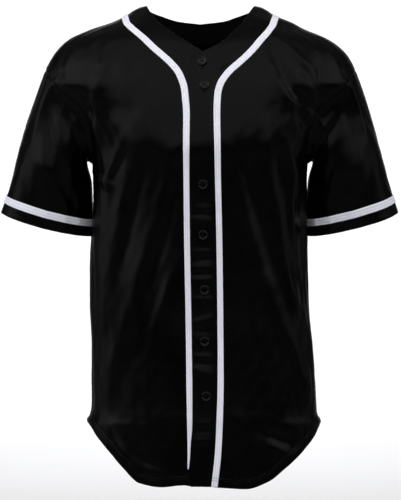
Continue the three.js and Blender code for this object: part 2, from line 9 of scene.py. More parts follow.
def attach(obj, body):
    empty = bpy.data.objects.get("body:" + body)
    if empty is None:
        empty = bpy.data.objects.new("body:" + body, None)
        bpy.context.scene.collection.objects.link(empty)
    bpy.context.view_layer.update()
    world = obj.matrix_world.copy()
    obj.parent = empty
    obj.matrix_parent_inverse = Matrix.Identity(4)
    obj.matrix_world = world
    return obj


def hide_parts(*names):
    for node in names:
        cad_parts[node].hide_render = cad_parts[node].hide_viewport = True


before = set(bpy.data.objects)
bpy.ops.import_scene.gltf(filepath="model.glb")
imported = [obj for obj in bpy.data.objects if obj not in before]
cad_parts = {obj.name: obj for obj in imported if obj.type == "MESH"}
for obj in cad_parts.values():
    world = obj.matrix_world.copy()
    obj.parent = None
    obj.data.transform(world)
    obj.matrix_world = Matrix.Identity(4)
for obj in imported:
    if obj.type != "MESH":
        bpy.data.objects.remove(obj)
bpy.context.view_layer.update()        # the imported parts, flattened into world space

bl_info = {
    "name": "Baseball jersey",
    "version": (1, 0, 0),
    "blender": (4, 5, 0),
    "location": "View3D > Sidebar > Jersey",
    "description": "Builds a worn baseball jersey with braid, buttons and stitching",
    "category": "Object",
}

# The pattern is in millimetres. MM turns it into metres.
MM = 0.001
WALL = 2.0
LAY_GAP = 0.8
PLACKET_LIFT = WALL + LAY_GAP
LIFT_FROM, LIFT_TO = 0.14, 0.28
SEED = 41
SEAM_FINE = 0.25
QUARTER = math.pi / 2

BRAID_WIDTH = 10.5
BRAID_BASE = 0.25
BRAID_TOP = 1.75
BRAID_CLEAR = 0.7
BRAID_DRAWN_IN = 1.5
BRAID_LEVELS = (0.804, 0.885)
BRAID_SHARES = np.r_[0, 0.0003, np.linspace(0.001, 0.9992, 358)]
BRAID_END = 0.9992
BRAID_SHOULDER_Z = -15

BUTTON_RADIUS = 7.4
BUTTON_HEIGHT = 2.8
BUTTON_DISH = 1.3
HOLE_PLACE = 1.5

SHOULDER_Z = -97
UNDERARM_Z = -246
PANEL_HEIGHT = 794
FRONT_GRID = (104, 200)
BACK_GRID = (188, 196)
SHOULDER_SHARE = 6 / 28
ABOVE_UNDERARM = 0.51

SLEEVE_COLUMNS = 176
SLEEVE_JOIN = 0.4
SLEEVE_START_TOP = 100
SLEEVE_START_UNDER = 46
UNDERARM_SPREAD = 48
RIGHT_SLEEVE_SHIFT = 2.5

# Distances of the stitch rows from the hem, the cuff, a band's free edge and the armhole
HEM_ROWS = (10.4, 14.0)
CUFF_ROW = 8.5
BAND_ROW = 5.5
ARMHOLE_ROW = 5.0
STITCH_LIFT = 0.1
CHANNEL_HEIGHT = BRAID_TOP - 0.45

# Rings of the body: height, centre, half width, widest y, front y, back y, squareness
RINGS = np.array([
    (0, 0, 83, 0, -42, 44, 3.0), (-1.5, 0, 93, 0, -44, 46, 3.0), (-3, 0, 97, 0, -46, 48, 3.0),
    (-8, 0, 106, 0, -51, 54, 3.0), (-15, 0, 116, 0, -58, 61, 2.9), (-26, 2, 140, 0, -67, 73, 2.9),
    (-39, -4, 171, 0, -77, 84, 2.8), (-51, -3, 199, 0, -86, 94, 2.8), (-64, -1, 217, 0, -95, 102, 2.7),
    (-80, 0, 231, 0, -103, 110, 2.6), (-97, 0, 240, 0, -111, 118, 2.5), (-110, 0, 245, 0, -116, 123, 2.4),
    (-122, 0, 247, 0, -120, 127, 2.4), (-145, 0, 226, 0, -126, 133, 2.4), (-165, 0, 203, 0, -130, 136, 2.4),
    (-192, 0, 186, -4, -133, 138, 2.4), (-223, 0, 172, -10, -134, 137, 2.4),
    (-246, -1, 167, -14, -132, 135, 2.4), (-300, -1, 165, -20, -127, 130, 2.4),
    (-357, -2, 167, -20, -123, 125, 2.4), (-395, -3, 168, -20, -121, 122, 2.4),
    (-457, -2, 169, -18, -120, 121, 2.4), (-519, 2, 170, -16, -121, 123, 2.4),
    (-582, 4, 173, -15, -123, 126, 2.4), (-620, 5, 174, -15, -125, 128, 2.4),
    (-634, 5, 176, -15, -126, 129, 2.4), (-643, 5, 181, -15, -126, 129, 2.4),
    (-700, 5, 183, -14, -128, 131, 2.4), (-745, 5, 184, -14, -129, 132, 2.4),
], float)

# Hem heights at each angle from the centre, in degrees: wearer's right, left, and the back
HEM = np.array([
    (0, -733, -735, -744), (10, -733, -737, -743), (20, -736, -739, -740), (30, -731, -729, -730),
    (40, -706, -708, -708), (50, -680, -688, -685), (60, -661, -670, -666), (70, -648, -652, -650),
    (80, -642, -645, -644), (90, -640, -643, -642),
], float)

# Front edges of the wearer's left: seam x and z, free edge x and z, lift, steps to the next row
LEFT_EDGES = np.array([
    (116, -15, 83, 0, 0, 1), (116, -17.5, 83, -1, 0, 2), (112, -31, 81, -4, 0, 1),
    (104, -45, 72, -18, 0, 1), (93, -58, 63, -32, 0, 1), (82, -72, 50, -45, 0, 1),
    (70, -85, 37, -59, 0.2, 1), (56, -98, 17, -72, 0.8, 1), (46, -107, 4, -79, 1, 1),
    (38, -116, -13.5, -90, 1, 1), (30, -129, -15, -110, 1, 1), (26, -144, -15.4, -135, 1, 1),
    (24.5, -177, -15, -177, 1, 3), (25.6, -262, -15, -262, 1, 3), (27.8, -358, -13.5, -358, 1, 4),
    (29.4, -478, -12.8, -478, 1, 3), (30, -575, -11.3, -575, 1, 2), (28.6, -635, -11.3, -635, 1, 2),
    (26.3, -683, -15, -683, 1, 2), (20.6, -735.5, -20.3, -733.5, 1, 0),
], float)

# The same for the wearer's right, whose band lies under the other and isn't lifted
RIGHT_EDGES = np.array([
    (-116, -15, -83, 0, 0, 1), (-116.5, -17.5, -82.5, -2, 0, 2), (-113, -31, -78, -11, 0, 1),
    (-100, -45, -68, -25, 0, 1), (-85.5, -58, -57.5, -36, 0, 1), (-71.5, -72, -44.5, -45.5, 0, 1),
    (-57, -85, -30, -56, 0, 1), (-44, -97.5, -15, -66, 0, 1), (-34, -110, 4, -79, 0, 1),
    (-28.5, -122, 12, -91, 0, 1), (-24.5, -135, 12.5, -110, 0, 1), (-22.5, -153, 12.5, -140, 0, 1),
    (-21, -177, 12.5, -177, 0, 3), (-21.8, -262, 12.5, -262, 0, 3), (-21, -358, 12.5, -358, 0, 4),
    (-18.8, -478, 12.5, -478, 0, 3), (-17.3, -575, 12.5, -575, 0, 2), (-15.8, -635, 12.5, -635, 0, 2),
    (-15, -683, 11, -683, 0, 2), (-15, -735, 7, -735, 0, 0),
], float)

# Back neck from the shoulder to the centre: neck edge x and z, braided seam x and z
BACK_NECK = np.array([
    (83, 0, 116, -15), (82, -1.5, 113, -20), (74, -5, 98, -32),
    (58, -10, 76, -42), (36, -16, 46, -50), (0, -20, 0, -54),
], float)

# Armhole: height, and how many degrees round from the centre in front and behind
ARMHOLE = np.array([
    (-97, 90, 90), (-110, 68, 70), (-123, 61.5, 64), (-145, 59, 61.5), (-164, 58, 61),
    (-192, 61, 64), (-223, 69.5, 71), (-238, 77, 78), (-246, 90, 90),
], float)

# Sleeve sections: level, centre x, y and z, half sizes outward and deep, slant and pitch in degrees
SLEEVE = np.array([
    (0.4, 226.5, 14, -256, 62, 68, 18, 3), (0.7, 231, 22, -297, 68, 62, 16, 6),
    (1, 237.5, 28, -337, 75, 56, 14, 10),
], float)

# Folds of the front: x and z of both ends, bow, half width, height off the cloth
FRONT_FOLDS = [
    (-146, -204, 142, -201, 15, 31, 3.9),
    (-171, -137, -168, -205, 0, 9, -3.5), (-148, -100, -160, -210, 8, 11, 3.5),
    (-120, -222, -142, -272, 0, 9, 3), (-103, -225, -136, -400, 0, 11, 4),
    (-82, -240, -118, -400, 0, 11, -3.5), (-40, -235, -129, -545, 0, 12, 4.5),
    (-40, -300, -76, -440, 0, 9, -3), (-40, -400, -66, -490, 0, 10, 3),
    (-131, -665, -108, -704, 0, 9, 2.5), (111, -66, 176, -170, 14, 10, -4),
    (120, -54, 168, -108, 0, 8, 3), (112, -104, 174, -176, 12, 9, 2.5),
    (180, -92, 182, -156, 0, 8, -2.5), (146, -152, 170, -216, 0, 9, -3.5),
    (50, -240, 105, -454, 0, 12, 3.5), (56, -236, 99, -397, -8, 11, -4),
    (100, -225, 148, -460, 6, 10, 3.5), (118, -228, 150, -450, 4, 9, -3),
    (129, -223, 157, -300, 0, 10, 3.5), (102, -436, 172, -615, 0, 12, 4.5),
    (143, -445, 169, -580, -7, 9, 3.5), (97, -656, 140, -675, 0, 9, -3),
]

# Narrower creases of the front, which only a fine surface holds
FRONT_CREASES = [
    (122, -48, 158, -88, 0, 5, -1.8), (150, -95, 170, -126, 0, 5, -2), (118, -108, 172, -170, 12, 4, 1.2),
    (126, -128, 160, -166, 4, 4, -1.2), (181, -96, 183, -150, 0, 4, -1.6), (100, -668, 130, -688, 0, 6, 2),
    (44, -612, 70, -655, 0, 12, 1.8), (-28, -640, -52, -690, 0, 8, 2), (-118, -242, -134, -268, 0, 5, -1.8),
    (-144, -276, -158, -266, 0, 7, 2.6), (-150, -290, -152, -380, 0, 12, 1.8),
    (-96, -300, -120, -410, 0, 6, -1.4), (-58, -420, -84, -520, 0, 7, -1.5),
    (120, -300, 138, -400, 0, 5, 1.4), (84, -260, 104, -350, -4, 6, -1.4), (152, -300, 160, -420, 0, 7, -1.8),
    (150, -470, 158, -530, -4, 5, -1.6), (126, -520, 152, -580, 0, 6, -1.6),
    (-104, -520, -132, -620, 0, 12, -2), (-150, -440, -152, -600, 4, 12, 2), (60, -420, 90, -560, 0, 14, -2),
    (-92, -690, -60, -712, 0, 7, -1.6), (-86, -705, -40, -722, 0, 6, 1.5),
    (-60, -150, -96, -190, 0, 16, 1.2), (70, -150, 96, -200, 0, 16, 1.2), (-96, -84, -84, -150, 6, 12, -1),
]

# Folds of the back, seen from behind but in the same x and z
BACK_FOLDS = [
    (-70, -120, 60, -112, 10, 16, -3), (150, -150, 96, -330, 10, 13, 4), (118, -210, 40, -520, 12, 14, 4.5),
    (64, -300, 10, -640, 8, 12, -3.5), (-146, -165, -108, -350, -8, 12, 4),
    (-112, -230, -58, -560, -12, 14, 4.5), (-74, -380, -88, -690, 0, 12, -3.5),
    (128, -430, 142, -650, 0, 12, 3),
]
BACK_CREASES = [
    (-60, -90, 50, -84, 8, 9, 1.4), (-40, -150, 34, -146, -6, 12, 1.6), (134, -190, 104, -300, 6, 6, -1.8),
    (92, -250, 52, -400, 8, 7, -2), (-128, -200, -104, -320, -6, 6, -1.8), (-90, -270, -64, -430, -8, 7, -2),
    (-30, -330, -12, -560, 0, 12, 2), (34, -420, 0, -700, 6, 9, 1.8), (96, -470, 108, -690, 0, 10, -2),
    (-128, -430, -140, -640, 0, 12, 2.4), (-108, -480, -116, -690, 0, 8, -1.8),
    (156, -300, 150, -480, 0, 10, 2), (150, -660, 120, -690, 0, 8, 1.8), (-156, -300, -150, -470, 0, 10, 2),
    (60, -600, 54, -720, 0, 9, 2),
]

# Folds of the sleeves: the same columns, with x as a distance from the centre, and a side:
# -1 lies in front and 1 behind
LEFT_SLEEVE_FOLDS = [
    (206, -164, 180, -206, 0, 8, 3.5, -1), (218, -156, 180, -222, -5, 9, -4, -1),
    (219, -168, 191, -264, 0, 10, 3.5, -1), (234, -180, 222, -300, 0, 11, -3, -1),
    (248, -200, 238, -310, 0, 11, 2.5, -1), (226, -150, 190, -240, 0, 11, -3, 1),
    (252, -180, 258, -300, 0, 12, 3, 1), (204, -172, 186, -200, 0, 4, 1.5, -1),
    (208, -262, 196, -302, 0, 6, 2, -1), (228, -250, 214, -316, 0, 7, -1.6, -1),
    (262, -210, 262, -300, 0, 10, -1.8, -1), (236, -170, 206, -290, 0, 8, 2.4, 1),
    (276, -200, 286, -300, 0, 9, -2, 1), (214, -160, 184, -226, 0, 6, 2, 1),
]
RIGHT_SLEEVE_FOLDS = [
    (204, -168, 173, -216, 0, 8, 3.5, -1), (214, -158, 180, -224, 0, 9, -3.5, -1),
    (224, -172, 189, -302, 0, 10, 3, -1), (234, -180, 199, -310, -4, 9, -3, -1),
    (224, -146, 192, -236, 0, 11, -3, 1), (250, -176, 262, -306, 0, 12, 3, 1),
    (200, -150, 176, -194, 0, 5, -2.4, -1), (218, -286, 203, -318, 0, 6, 2, -1),
    (248, -190, 236, -300, 0, 9, 2, -1), (266, -200, 270, -300, 0, 10, -1.8, -1),
    (234, -168, 206, -286, 0, 8, 2.4, 1), (274, -196, 288, -300, 0, 9, -2, 1),
]

# Creases of the top band: x and z of both ends, bow, half width, height
PLACKET_FOLDS = [
    (-12, -316, 20, -318, 0, 5, 1.2), (-10, -325, 18, -324, 0, 4, -1.2), (-12, -333, 20, -336, 0, 5, 1.2),
    (-12, -381, 20, -383, 0, 5, 1.2), (-8, -394, 20, -392, 0, 5, -1.2), (-12, -407, 20, -405, 0, 5, 1.2),
    (-10, -414, 16, -415, 0, 4, -1.2), (-12, -425, 20, -423, 0, 5, 1.2), (-12, -454, 20, -455, 0, 5, 1.2),
    (-12, -490, 20, -480, 0, 5, 1.2), (-10, -499, 20, -502, 0, 5, -1.2), (-12, -540, 20, -542, 0, 5, 1.2),
    (-10, -549, 18, -551, 0, 4, -1.2), (-12, -558, 20, -567, 0, 5, 1.2), (-12, -640, 20, -641, 0, 6, 1.2),
    (-10, -651, 20, -650, 0, 5, -1.2), (-14, -668, 18, -666, 0, 6, 1.2),
]

# Buttons down the top band, where they are sewn: x and z
BUTTONS = [(2.7, -95), (5.9, -131), (3.6, -280), (3.9, -356), (6, -439), (6.3, -517), (8.6, -599)]

# Stitched channels of the braid, as shares of its half width
CHANNELS = (-1 / 3, 1 / 3)

# Both sides: name, sign of x, edges of the front, folds of the sleeve and of the front's band
SIDES = (
    ("left", 1, LEFT_EDGES, LEFT_SLEEVE_FOLDS, PLACKET_FOLDS),
    ("right", -1, RIGHT_EDGES, RIGHT_SLEEVE_FOLDS, ()),
)


def hermite(s):
    """Weights of the start, its slope, the end and its slope along a cubic."""
    return 2 * s**3 - 3 * s**2 + 1, s**3 - 2 * s**2 + s, 3 * s**2 - 2 * s**3, s**3 - s**2


def smooth(value, low, high):
    """Soft step from 0 at low to 1 at high."""
    s = np.clip((value - low) / (high - low), 0, 1)
    return s * s * (3 - 2 * s)


def mix(a, b, share):
    return a + (b - a) * share


def unit(vectors):
    return vectors / np.maximum(np.linalg.norm(vectors, axis=-1, keepdims=True), 1e-9)


def dot(a, b):
    return np.sum(a * b, axis=-1)


def through(x, y):
    """Curve through points that never overshoots them."""
    order = np.argsort(x, kind="stable")
    x, y = np.asarray(x, float)[order], np.asarray(y, float)[order]
    slope = np.diff(y) / np.diff(x)
    before, after = np.r_[slope[0], slope], np.r_[slope, slope[-1]]
    rising = before * after > 0
    total = np.where(rising, before + after, 1)
    tangent = np.where(rising, 2 * before * after / total, 0)

    def at(value):
        held = np.clip(value, x[0], x[-1])
        i = np.clip(np.searchsorted(x, held) - 1, 0, len(x) - 2)
        width = x[i + 1] - x[i]
        start, leave, end, arrive = hermite((held - x[i]) / width)
        return start * y[i] + end * y[i + 1] + width * (leave * tangent[i] + arrive * tangent[i + 1])

    return at


def table_curves(table, *keys):
    """A curve for each column of a table, by the values of its first column."""
    return {key: through(table[:, 0], table[:, i + 1]) for i, key in enumerate(keys)}


RING = table_curves(RINGS, "centre", "side", "middle", "front", "back", "square")
HEM_AT = table_curves(HEM, "right", "left", "back")
SECTION = table_curves(SLEEVE, "x", "y", "z", "outward", "deep", "slant", "pitch")


def fold_height(folds, x, z):
    """Height of every fold at each place: one fades at its ends and sides, and wavers on its way."""
    height = np.zeros(np.shape(x))
    for i, (x0, z0, x1, z1, bow, width, rise) in enumerate(folds):
        dx, dz = x1 - x0, z1 - z0
        length = math.hypot(dx, dz)
        along = ((x - x0) * dx + (z - z0) * dz) / length**2
        held = np.clip(along, 0, 1)
        waver = 0.16 * width * np.sin(length / 26 * held + 1.7 * i)
        across = ((x - x0) * dz - (z - z0) * dx) / length - 4 * bow * held * (1 - held) + waver
        past = (along - held) * length
        fade = np.sin(np.pi * (0.12 + 0.76 * held)) ** 0.8
        uneven = 1 + 0.16 * np.sin(length / 37 * held + 2.3 * i)
        height += rise * fade * uneven * np.exp(-((across / width) ** 2) - (past / (2 * width)) ** 2)
    return height


def ripples(x, z, seed, length, stretch=2.5, count=9):
    """Soft uneven waves about length across, whose crests run mostly down the cloth."""
    rng = np.random.default_rng(SEED + seed)
    total = np.zeros(np.shape(x))
    for _ in range(count):
        turn = rng.normal(0, 0.45)
        pace = 2 * np.pi / (length * rng.uniform(0.7, 1.7))
        shift = rng.uniform(0, 2 * np.pi)
        total += np.sin(pace * (x * math.cos(turn) + z * (math.sin(turn) + 0.12) / stretch) + shift)
    return total / math.sqrt(count)


def body(angle, z):
    """Body surface by the angle from the centre front and the height."""
    angle, z = np.broadcast_arrays(np.asarray(angle, float), np.asarray(z, float))
    sine, cosine = np.sin(angle), np.cos(angle)
    n = RING["square"](z)
    reach = (np.abs(sine) ** n + np.abs(cosine) ** n) ** (-1 / n)
    middle = RING["middle"](z)
    depth = np.where(cosine > 0, middle - RING["front"](z), RING["back"](z) - middle)
    x = RING["centre"](z) + RING["side"](z) * sine * reach
    return np.stack([x, middle - depth * cosine * reach, z], -1)


def angle_at(x, z, behind=False):
    """Angle at which the body is x wide at a height, on the front or the back."""
    share = np.clip((x - RING["centre"](z)) / RING["side"](z), -1, 1)
    n = RING["square"](z)
    depth = np.maximum(1 - np.abs(share) ** n, 0) ** (1 / n)
    return np.arctan2(share, -depth if behind else depth)


def slopes(angle, z):
    """How the body's surface moves with the angle and with the height."""
    step = 0.004
    by_angle = (body(angle + step, z) - body(angle - step, z)) / (2 * step)
    by_height = body(angle, z + 0.5) - body(angle, z - 0.5)
    return by_angle, by_height


def cloth(angle, z, fine=1.0):
    """Points and outward normals of the cloth with its folds. fine is 0 to 1, or one for each point."""
    by_angle, by_height = slopes(angle, z)
    normal = unit(np.cross(by_angle, by_height))
    point = body(angle, z)
    x = point[..., 0]
    facing = np.cos(angle) * np.ones(np.shape(x))
    fade = smooth(np.abs(facing), 0, 0.35)
    front = fold_height(FRONT_FOLDS, x, z) + fine * fold_height(FRONT_CREASES, x, z)
    back = fold_height(BACK_FOLDS, x, z) + fine * fold_height(BACK_CREASES, x, z)
    height = np.where(facing > 0, front, back) * fade
    ahead = (angle + np.pi) % (2 * np.pi) - np.pi
    round_x = np.where(facing > 0, ahead, angle % (2 * np.pi)) * 150
    waves = mix(0.35, 1.0, smooth(-z, 150, 330)) * ripples(round_x, z, 1, 62)
    waves = waves + 0.28 * ripples(round_x, z, 2, 21, 1.6)
    height = height + fine * waves * smooth(np.abs(facing), 0, 0.2)
    return point + normal * height[..., None], normal


def beside(angle, z, reach):
    """Angles and heights of a path moved sideways on the body by reach, in millimetres."""
    by_angle, by_height = slopes(angle, z)
    ahead = np.gradient(body(angle, z), axis=0)
    across = unit(np.cross(np.cross(by_angle, by_height), ahead)) * np.reshape(reach, (-1, 1))
    aa, ab, bb = dot(by_angle, by_angle), dot(by_angle, by_height), dot(by_height, by_height)
    pa, pb = dot(by_angle, across), dot(by_height, across)
    scale = aa * bb - ab * ab
    return angle + (pa * bb - pb * ab) / scale, z + (pb * aa - pa * ab) / scale


def stations(edges, share):
    """Columns of a front's edge table at shares of the way from the shoulder to the hem."""
    reached = np.r_[0, np.cumsum(edges[:-1, 5])]
    at = np.interp(share * reached[-1], reached, np.arange(len(edges)))
    return np.stack([through(np.arange(len(edges)), edges[:, k])(at) for k in range(5)], -1)


def seam_path(edges, share):
    """Braided seam of a front as angles and heights, from the shoulder down."""
    rows = stations(edges, share)
    return angle_at(rows[:, 0], rows[:, 1]), rows[:, 1]


def hem_height(angle, key):
    """Height of the hem under an angle."""
    turned = np.abs(angle) if key != "back" else np.abs(np.pi - angle)
    return HEM_AT[key](np.degrees(turned))


def hem_lean(angle, key):
    """Cosine of the hem's lean, which turns a height above it into a distance from it."""
    step = math.radians(1)
    rise = hem_height(angle + step / 2, key) - hem_height(angle - step / 2, key)
    by_angle, _ = slopes(angle, hem_height(angle, key))
    run = np.linalg.norm(by_angle, axis=-1) * step
    return run / np.hypot(run, rise)


def armhole_path(sign, behind, share):
    """Armhole seam as angles and heights, from the shoulder point to the underarm."""
    z = np.linspace(SHOULDER_Z, UNDERARM_Z, 600)
    angle = np.radians(through(ARMHOLE[:, 0], ARMHOLE[:, 2 if behind else 1])(z))
    angle = sign * (np.pi - angle if behind else angle)
    run = np.r_[0, np.cumsum(np.linalg.norm(np.diff(body(angle, z), axis=0), axis=1))]
    at = share * run[-1]
    return np.interp(at, run, angle), np.interp(at, run, z)


def side_path(sign, behind, hem_z, share):
    """Side seam from the hem up, then the armhole up to the shoulder point."""
    low = np.minimum(share * 2, 1)
    high = np.clip(share * 2 - 1, 0, 1)
    hole_angle, hole_z = armhole_path(sign, behind, 1 - high)
    angle = np.where(share < 0.5, sign * QUARTER, hole_angle)
    if behind:
        angle = np.where(angle < 0, angle + 2 * np.pi, angle)
    return angle, np.where(share < 0.5, mix(hem_z, UNDERARM_Z, low), hole_z)


def back_neck_path(columns, share):
    """Back neck edge or seam as angles and heights, from the wearer's left shoulder to the right."""
    half = len(BACK_NECK) - 1
    at = share * 2 * half
    place = np.minimum(at, 2 * half - at)
    sign = np.where(at <= half, 1, -1)
    x = through(np.arange(half + 1), BACK_NECK[:, columns])(place)
    z = through(np.arange(half + 1), BACK_NECK[:, columns + 1])(place)
    angle = angle_at(sign * x, z, True)
    return np.where(angle < 0, angle + 2 * np.pi, angle), z


def patch(bottom, top, left, right, u, v):
    """Angles and heights over a patch whose four edges are pairs of arrays."""
    u, v = u[:, None], v[None, :]
    found = []
    for low, high, near, far in zip(bottom, top, left, right):
        across = (1 - u) * near[None, :] + u * far[None, :]
        along = (1 - v) * low[:, None] + v * high[:, None]
        ends = (1 - v) * ((1 - u) * low[0] + u * low[-1]) + v * ((1 - u) * high[0] + u * high[-1])
        found.append(across + along - ends)
    return found


def run_lengths(points, axis):
    """Distance from the first line of a grid along one of its axes, in millimetres."""
    steps = np.linalg.norm(np.diff(points, axis=axis), axis=-1)
    start = np.zeros_like(np.take(steps, [0], axis=axis))
    return np.concatenate([start, np.cumsum(steps, axis=axis)], axis=axis)


def closer_at_ends(count, strength=0.6):
    """Shares from 0 to 1 that lie closer together at both ends."""
    s = np.linspace(0, 1, count)
    return s - strength * np.sin(2 * np.pi * s) / (2 * np.pi)


def hem_shares(count):
    """Shares up a panel that lie close together across its hem."""
    turned_up = 20
    low = np.arange(0, turned_up, 1.25) / PANEL_HEIGHT
    return np.r_[low, np.linspace(turned_up / PANEL_HEIGHT, 1, count)]


def bell(distance, width):
    return np.exp(-((distance / width) ** 2))


def pucker_waves(along, seed, shortest, longest):
    """Four uneven waves along a seam."""
    rng = np.random.default_rng(SEED + seed)
    return sum(
        np.sin(2 * np.pi * along / rng.uniform(shortest, longest) + rng.uniform(0, 6)) for _ in range(4)
    )


def seam_relief(distance, along, seed, depth=0.8, pucker=0.55):
    """Groove of a seam, and the puckers that fade away from it."""
    held = bell(distance, 9) * (1 - bell(distance, 2.5))
    return -depth * bell(distance, 1.7) + pucker * 0.5 * pucker_waves(along, seed, 9, 24) * held


def hem_relief(distance, along, seed):
    """Turned-up hem: a little thicker, with two stitched grooves and small puckers."""
    grooves = bell(distance - HEM_ROWS[0], 1.1) + bell(distance - HEM_ROWS[1], 1.1)
    puckers = 0.22 * pucker_waves(along, seed, 7, 22) * bell(distance - 11, 8)
    return 0.45 * smooth(-distance, -15.5, -12.5) - 0.45 * grooves + puckers


def grid_object(name, points, outward=None, closed=False, caps=False, uv=None):
    """Mesh object from points[i, j], open or closed round i, with its faces turned outwards."""
    columns, rows = points.shape[:2]
    spans = columns if closed else columns - 1
    i, j = np.meshgrid(np.arange(spans), np.arange(rows - 1), indexing="ij")
    ci = np.stack([i, i + 1, i + 1, i]).reshape(4, -1).T
    cj = np.stack([j, j, j + 1, j + 1]).reshape(4, -1).T
    faces = (ci % columns) * rows + cj
    flat = points.reshape(-1, 3)
    a, b, c = flat[faces[:, 0]], flat[faces[:, 1]], flat[faces[:, 2]]
    if outward is None:
        facing = np.sum(dot(a, np.cross(b, c)))
    else:
        facing = np.sum(dot(np.cross(b - a, c - a), outward.reshape(-1, 3)[faces[:, 0]]))
    ring = list(range(columns))
    ends = [[k * rows for k in reversed(ring)], [k * rows + rows - 1 for k in ring]] if caps else []
    if facing < 0:
        faces, ci, cj = faces[:, ::-1], ci[:, ::-1], cj[:, ::-1]
        ends = [end[::-1] for end in ends]
    if uv is None:
        wrapped = np.concatenate([points, points[:1]]) if closed else points
        u, v = run_lengths(wrapped, 0), run_lengths(wrapped, 1)
    else:
        u, v = uv
    mesh = bpy.data.meshes.new(name)
    mesh.from_pydata((flat * MM).tolist(), [], faces.tolist() + ends)
    layer = mesh.uv_layers.new(name="Cloth")
    corners = np.zeros((len(mesh.loops), 2))
    corners[: faces.size, 0] = u[ci, cj].ravel() * MM
    corners[: faces.size, 1] = v[ci, cj].ravel() * MM
    layer.data.foreach_set("uv", corners.ravel())
    mesh.shade_smooth()
    return new_object(name, mesh)


def arc_from(angle, z, start):
    """Length round the body from a starting angle at each height, in millimetres."""
    total = np.zeros(np.shape(angle))
    last = body(np.full(np.shape(angle), start), z)
    for share in np.linspace(0, 1, 17)[1:]:
        here = body(mix(start, angle, share), z)
        total += np.linalg.norm(here - last, axis=-1)
        last = here
    return total * np.sign(angle - start)


def thicken(piece, thickness):
    """Gives a sheet its thickness, inwards from its outer face."""
    modifier = piece.modifiers.new("Thickness", "SOLIDIFY")
    modifier.thickness = thickness
    modifier.offset = -1


def above_hem(angle, z, key):
    """Distance of each place from the hem under it."""
    return (z - hem_height(angle, key)) * hem_lean(angle, key)


def front_grid(edges, sign, key):
    """Surface of a front from the braided seam to the side seam, and its distances."""
    u, v = closer_at_ends(FRONT_GRID[0]), hem_shares(FRONT_GRID[1])
    left_angle, left_z = seam_path(edges, 1 - v)
    left_z = left_z + (hem_height(left_angle[0], key) - left_z[0]) * smooth(1 - v, 0.97, 1)
    right = side_path(sign, False, hem_height(QUARTER, key), v)
    bottom_angle = mix(left_angle[0], sign * QUARTER, u)
    bottom = (bottom_angle, hem_height(bottom_angle, key))
    top = (np.full(len(u), sign * QUARTER), mix(BRAID_SHOULDER_Z, SHOULDER_Z, u))
    angle, z = patch(bottom, top, (left_angle, left_z), right, u, v)
    points, normals = cloth(angle, z, mix(SEAM_FINE, 1, smooth(u, 0.02, 0.2))[:, None])
    across, down = run_lengths(points, 0), run_lengths(points, 1)
    above = above_hem(angle, z, key)
    height = seam_relief(across[-1] - across, down, 10 + sign)
    height += seam_relief(down[:, -1:] - down, across, 14 + sign, 0.8, 0.3)
    height += seam_relief(across, down, 17 + sign, 0.0, 0.4) * smooth(across, 3, 9)
    height += hem_relief(above, across, 20 + sign)
    return points + normals * height[..., None], normals, above, across, (arc_from(angle, z, 0.0), down)


def back_grid():
    """Surface of the back from side seam to side seam, up to the shoulders and the neck seam."""
    u, v = closer_at_ends(BACK_GRID[0], 0.5), hem_shares(BACK_GRID[1])
    bottom_angle = mix(QUARTER, 3 * QUARTER, u)
    bottom = (bottom_angle, hem_height(bottom_angle, "back"))
    edge = SHOULDER_SHARE
    neck_angle, neck_z = back_neck_path(2, np.clip((u - edge) / (1 - 2 * edge), 0, 1))
    rise = np.minimum(np.minimum(u, 1 - u) / edge, 1)
    on_shoulder = (u < edge) | (u > 1 - edge)
    top_angle = np.where(u < edge, QUARTER, np.where(u > 1 - edge, 3 * QUARTER, neck_angle))
    top_z = np.where(on_shoulder, mix(SHOULDER_Z, BRAID_SHOULDER_Z, rise), neck_z)
    hem_z = hem_height(QUARTER, "back")
    left, right = side_path(1, True, hem_z, v), side_path(-1, True, hem_z, v)
    angle, z = patch(bottom, (top_angle, top_z), left, right, u, v)
    near_neck = (1 - smooth(1 - v, 0, 0.06))[None, :] * smooth(np.minimum(u, 1 - u), 0.1, 0.3)[:, None]
    points, normals = cloth(angle, z, 1 - 0.75 * near_neck)
    across, down = run_lengths(points, 0), run_lengths(points, 1)
    above = above_hem(angle, z, "back")
    height = seam_relief(across, down, 30) + seam_relief(across[-1] - across, down, 31)
    height += np.where(on_shoulder[:, None], seam_relief(down[:, -1:] - down, across, 32, 0.8, 0.3), 0)
    height += hem_relief(above, across, 33)
    return points + normals * height[..., None], normals, above, across, (arc_from(angle, z, np.pi), down)


def panel(name, grid):
    """Front or back from its grid."""
    points, normals, _, _, uv = grid
    return grid_object(name, points, normals, uv=uv)


def band_section(thickness, columns):
    """Loop round a folded band: share across, inset from the free edge, depth below the face."""
    half = thickness / 2
    outer = [(share, 0, 0) for share in columns]
    edge = [(1, half * (1 - math.sin(a)), half * (math.cos(a) - 1)) for a in np.linspace(0, np.pi, 7)]
    inner = [(share, 0, -thickness) for share in columns[::-2]]
    return np.array(outer + edge + inner)


def band_width(start, end):
    return np.linalg.norm(body(*end) - body(*start), axis=-1)


def band_face(start, end, lift, share, folds=()):
    """Points and normals of a band's face at shares of the way from its seam to its free edge."""
    width = band_width(start, end)[:, None]
    angle = mix(start[0][:, None], end[0][:, None], share)
    points, normals = cloth(angle, mix(start[1][:, None], end[1][:, None], share), SEAM_FINE)
    raised = PLACKET_LIFT * lift[:, None] * smooth(share, LIFT_FROM, LIFT_TO)
    wrinkles = fold_height(folds, points[..., 0], points[..., 2]) * smooth(share, 0.14, 0.34)
    groove = -0.3 * bell(share * width - (width - BAND_ROW), 1.2)
    return points + normals * (raised + wrinkles + groove)[..., None], normals


